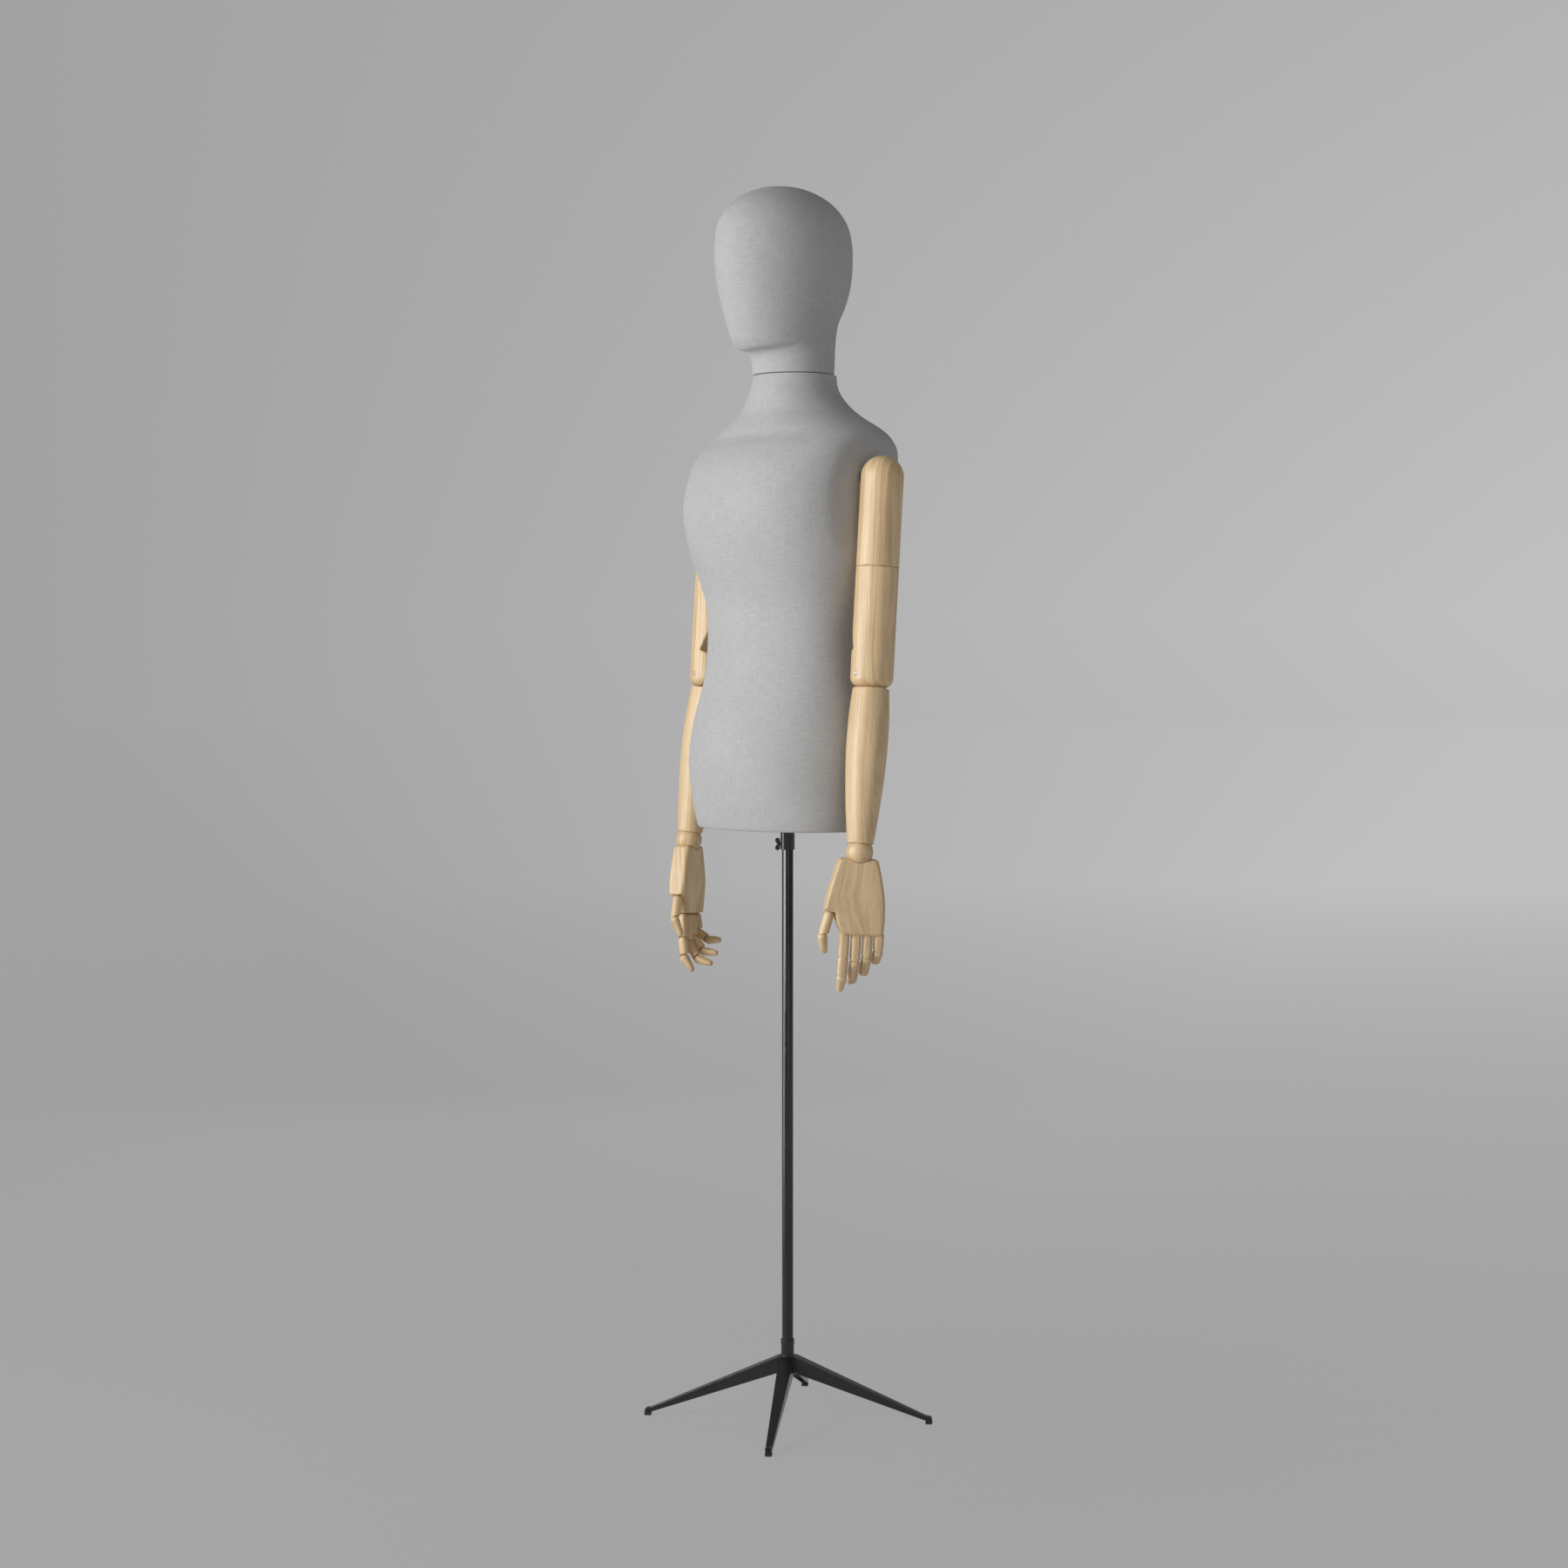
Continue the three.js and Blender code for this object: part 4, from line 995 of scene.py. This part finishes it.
def palm():
    """A carved block with a cup for the wrist ball and seats for the fingers and the thumb."""
    outline = [(-24.5, PALM_TOP)]
    outline += bezier([(-24.5, PALM_TOP), (-28, PALM_TOP), (-29.2, PALM_TOP - 4)], 3)
    outline += bezier([(-29.2, PALM_TOP - 4), (-41, -48), (-45.5, -80)], 6)
    outline += [(-31.5, -85)]
    outline += bezier([(-31.5, -85), (-28, -94), (-26, -108), (-17, KNUCKLE_LINE)], 8)
    outline += [(33, KNUCKLE_LINE)]
    outline += bezier([(33, KNUCKLE_LINE), (37.3, KNUCKLE_LINE), (38.2, KNUCKLE_LINE + 6)], 4)
    outline += bezier([(38.2, KNUCKLE_LINE + 6), (39.8, -90), (37.5, -66)], 5)
    outline += bezier([(37.5, -66), (33, -36), (26.1, PALM_TOP - 4)], 6)
    outline += bezier([(26.1, PALM_TOP - 4), (25, PALM_TOP), (21.5, PALM_TOP)], 3)
    to_thumb = np.array(thumb_place().inverted())

    def distance(x, y, z):
        half = np.interp(z, [KNUCKLE_LINE - 3, -60, PALM_TOP + 3], [9, 13.5, 12.5])
        body = rounded_max(polygon_distance(y, z, outline), np.abs(x) - half, PALM_ROUNDING)
        body = minus(body, np.sqrt(x * x + y * y + z * z) - BALL_RADIUS - GAP, 1.4)
        row = slab(y, -24, 60)
        knuckles = np.maximum(np.hypot(x, z - KNUCKLE_LINE) - FINGER_HALF - GAP, row)
        relief = np.maximum(np.maximum(x, z - KNUCKLE_LINE - FINGER_HALF - GAP), row)
        body = minus(body, np.minimum(knuckles, relief), 0.6)
        tx, ty, tz = (to_thumb[k][0] * x + to_thumb[k][1] * y + to_thumb[k][2] * z + to_thumb[k][3]
                      for k in range(3))
        seat = np.maximum(np.hypot(tx, tz) - FINGER_HALF - GAP, np.abs(ty) - 12)
        below = np.maximum(np.maximum(np.abs(tx) - 9, np.abs(ty) - 9), slab(tz, -12, 0))
        return minus(body, np.minimum(seat, below), 0.5)

    return skin(distance, (-14, -47, KNUCKLE_LINE), (14, 42, PALM_TOP), PALM_CELL)


def finger_piece(length, tip):
    """One piece of a finger: a round knuckle above, and a tapered tip or the next seat below."""
    taper = [-length, -length + 2, -length + 7, 0], [0.5, 0.64, 0.78, 1]

    def distance(x, y, z):
        size = np.interp(z, *taper) if tip else 1.0
        thick = np.where(z > 0, np.hypot(x, z), np.abs(x)) - FINGER_HALF * size
        body = rounded_max(thick, np.abs(y) - FINGER_HALF_WIDTH * size, FINGER_ROUNDING)
        if tip:
            return rounded_max(body, -length - z, TIP_ROUNDING)
        body = rounded_max(body, -length - z, 1.2)
        knuckle = np.hypot(x, z + length) - FINGER_HALF - GAP
        relief = np.maximum(x, z + length - FINGER_HALF - GAP)
        return minus(body, np.minimum(knuckle, relief), 0.5)

    half = FINGER_HALF_WIDTH
    return skin(distance, (-half, -half, -length), (half, half, FINGER_HALF), FINGER_CELL)


def chain(name, base, lengths, curls):
    """Adds a finger's pieces, each turned on the knuckle before it."""
    place = base
    for k, (length, curl) in enumerate(zip(lengths, curls)):
        place = place @ Matrix.Rotation(math.radians(curl), 4, "Y")
        piece = f"{name}_{k + 1}"
        wooden(f"{piece}_wood", finger_piece(length, k == len(lengths) - 1), place, piece, piece)
        place = place @ Matrix.Translation((0, 0, -length))


def shoulder_mount():
    """A flange behind the armhole, a disc in front of it, and the peg that the arm hangs on."""
    back, inner, outer = SIDE_PLATE - 10, SIDE_PLATE - SHELL_WALL - GAP, SIDE_PLATE + GAP
    face, end = SIDE_PLATE + MOUNT_DISC_THICKNESS, SHOULDER.x - PEG_SETBACK
    profile = [
        (0, back), (MOUNT_FLANGE_RADIUS, back), (MOUNT_FLANGE_RADIUS, inner),
        (PEG_NECK_RADIUS, inner), (PEG_NECK_RADIUS, outer), (MOUNT_DISC_RADIUS, outer),
        (MOUNT_DISC_RADIUS, face), (DOWEL_RADIUS, face), (DOWEL_RADIUS, end), (0, end),
    ]
    return lathe(filleted(profile, 0.5, 2), 48)


def arms():
    """Both arms, hung from the shoulder joints and following the joints of the frame."""
    mount = Matrix.Translation((0, SHOULDER.y, SHOULDER.z)) @ Matrix.Rotation(math.pi / 2, 4, "Y")
    turned_metal("mount_disc", shoulder_mount(), mount, ("torso", "torso"), "shoulder_mount")

    down = ELBOW - SHOULDER
    length, tilt = down.length, math.atan2(down.y, -down.z)
    upper = Matrix.Translation(SHOULDER) @ Matrix.Rotation(tilt, 4, "X")
    wooden("upper_arm_turning", upper_arm_top(), upper, "upper_arm", "upper_arm_top")
    wooden("elbow_block_turning", upper_arm_bottom(length), upper, "elbow_block",
           "upper_arm_bottom")
    at_pin = upper @ Matrix.Translation((0, 0, -length))
    blocks = ("elbow_block_left", "elbow_block_right")
    turned_metal("sleeve_nut", elbow_pin(), at_pin, blocks, "elbow_pin")

    reach = (Matrix.Rotation(-tilt, 4, "X") @ (WRIST - ELBOW).to_4d()).to_3d()
    flare, lean = math.atan2(reach.x, -reach.z), math.asin(reach.y / reach.length)
    lower = at_pin @ Matrix.Rotation(-flare, 4, "Y")
    wooden("forearm_turning", forearm(reach.length, lean), lower, "forearm", "forearm")
    wooden("wrist_sphere", wrist_ball(), Matrix.Translation(WRIST), "wrist_ball", "wrist_ball")

    hand = (Matrix.Translation(WRIST) @ Matrix.Rotation(math.radians(-HAND_TURN), 4, "Z")
            @ Matrix.Rotation(math.radians(-HAND_LEAN), 4, "X"))
    wooden("palm_block", palm(), hand, "palm", "palm")
    for name, side, lengths, curls in FINGERS:
        chain(name, hand @ Matrix.Translation((0, side, KNUCKLE_LINE)), lengths, curls)
    chain("thumb", hand @ thumb_place(), THUMB_LENGTHS, (0, THUMB_CURL))


# -------------------------------------------------------------------------- the studio

CAMERA_SPOT = Vector((3.3459, -2.5804, 1.0662))
CAMERA_TILT = math.radians(90 - 2.098)
CAMERA_HEADING = math.radians(52.43)
LENS, SENSOR = 68.24, 36
TOWARDS_CAMERA = Vector((math.sin(CAMERA_HEADING), -math.cos(CAMERA_HEADING), 0))
TO_THE_RIGHT = Vector((math.cos(CAMERA_HEADING), math.sin(CAMERA_HEADING), 0))
MIDDLE = Vector((0, 0, 1.05))
FLOOR_REACH = 60.0
FLOOR_GLOW = 0.335
FADE_START, FADE_END = 0.5, 11.0  # where the floor gives way to the backdrop's grey


def camera():
    """The main view: level with the object's middle, between its front and its left side."""
    data = bpy.data.cameras.new("camera")
    data.lens, data.sensor_width = LENS, SENSOR
    obj = bpy.data.objects.new("camera", data)
    obj.location = CAMERA_SPOT
    obj.rotation_euler = (CAMERA_TILT, 0, CAMERA_HEADING)
    bpy.context.scene.collection.objects.link(obj)
    bpy.context.scene.camera = obj


def softbox(name, right, near, up, size, power, tall=1.0, lights=True, reflects=True):
    """A soft light facing the object, which may only light it or only show in reflections."""
    data = bpy.data.lights.new(name, "AREA")
    data.shape = "RECTANGLE"
    data.size, data.size_y = size, size * tall
    data.energy = power
    obj = bpy.data.objects.new(name, data)
    obj.location = MIDDLE + TO_THE_RIGHT * right + TOWARDS_CAMERA * near + Vector((0, 0, up))
    obj.rotation_euler = (MIDDLE - obj.location).to_track_quat("-Z", "Y").to_euler()
    obj.visible_diffuse = lights
    obj.visible_glossy = reflects
    obj.visible_camera = False
    bpy.context.scene.collection.objects.link(obj)


def backdrop(s, direction):
    """Plain grey that grows a little lighter to the right and towards eye level."""
    right, up = s.node("ShaderNodeVectorMath", operation="DOT_PRODUCT"), s.split(direction)[2]
    s.plug(direction, right.inputs[0])
    right.inputs[1].default_value = TO_THE_RIGHT
    tone = s.span(right.outputs["Value"], -0.25, 0.25)
    near = s.span(s.maths("ABSOLUTE", s.maths("SUBTRACT", up, 0.02)), 0.0, 0.3, 1.0, 0.0)
    tone = s.maths("MULTIPLY", tone, s.maths("ADD", s.maths("MULTIPLY", near, 0.7), 0.3))
    return s.mix(tone, *BACKDROP_SHADES)


def blended(s, share, first, second, output):
    """Two shaders mixed into an output."""
    joined = s.node("ShaderNodeMixShader")
    for value, socket in zip((share, first.outputs[0], second.outputs[0]), joined.inputs):
        s.plug(value, socket)
    s.plug(joined.outputs[0], s.tree.nodes[output].inputs["Surface"])


def ambience():
    """Even light from all round, and the backdrop, which only the camera sees."""
    world = bpy.data.worlds.new("studio")
    world.use_nodes = True
    s = Nodes(world.node_tree)
    even = s.tree.nodes["Background"]
    even.inputs["Color"].default_value = AMBIENT_SHADE
    seen = s.node("ShaderNodeBackground")
    s.plug(backdrop(s, s.node("ShaderNodeTexCoord").outputs["Generated"]), seen.inputs["Color"])
    blended(s, s.node("ShaderNodeLightPath").outputs["Is Camera Ray"], even, seen, "World Output")
    bpy.context.scene.world = world


def ground():
    """A plain pale floor that fades into the backdrop's grey with distance."""
    sides = 96
    mesh = bpy.data.meshes.new("floor")
    points = np.column_stack([FLOOR_REACH * circle(sides), np.zeros(sides)])
    mesh.from_pydata(points.tolist(), [], [list(range(sides))])
    s = Shader("floor", (0.05, 0.05, 0.05), 0.9, Emission_Strength=FLOOR_GLOW,
               Specular_IOR_Level=0.0)
    s.surface.inputs["Emission Color"].default_value = (1, 1, 1, 1)
    place = s.node("ShaderNodeNewGeometry").outputs["Position"]
    length = s.node("ShaderNodeVectorMath", operation="LENGTH")
    direction = s.node("ShaderNodeVectorMath", operation="NORMALIZE")
    s.plug(place, length.inputs[0])
    s.plug(place, direction.inputs[0])
    glow = s.node("ShaderNodeEmission")
    s.plug(backdrop(s, direction.outputs[0]), glow.inputs["Color"])
    far = s.span(length.outputs["Value"], FADE_START, FADE_END)
    blended(s, far, s.surface, glow, "Material Output")
    mesh.materials.append(s.material)
    floor = bpy.data.objects.new("floor", mesh)
    bpy.context.scene.collection.objects.link(floor)


def lights():
    """Soft lights: width, watts and height over width come after the three distances."""
    softbox("key", -2.6, 1.65, 0.7, 1.4, 84.0, 1.4)
    softbox("strip", -3.2, 0.3, 0.2, 0.25, 10.0, 11.0)
    softbox("rear", -0.7, -3.0, 0.6, 1.8, 24.0, 1.2, reflects=False)
    softbox("left_card", -3.1, 0.5, -0.1, 1.0, 42.0, 2.6, lights=False)
    softbox("fill", 1.0, 2.8, 0.4, 1.2, 5.5, 1.5)


camera()
torso_cover()
head_cover()
stand()
wing_screw()
hub()
arms()
carried_over()
ambience()
ground()
lights()
bpy.context.scene.view_settings.view_transform = "Standard"
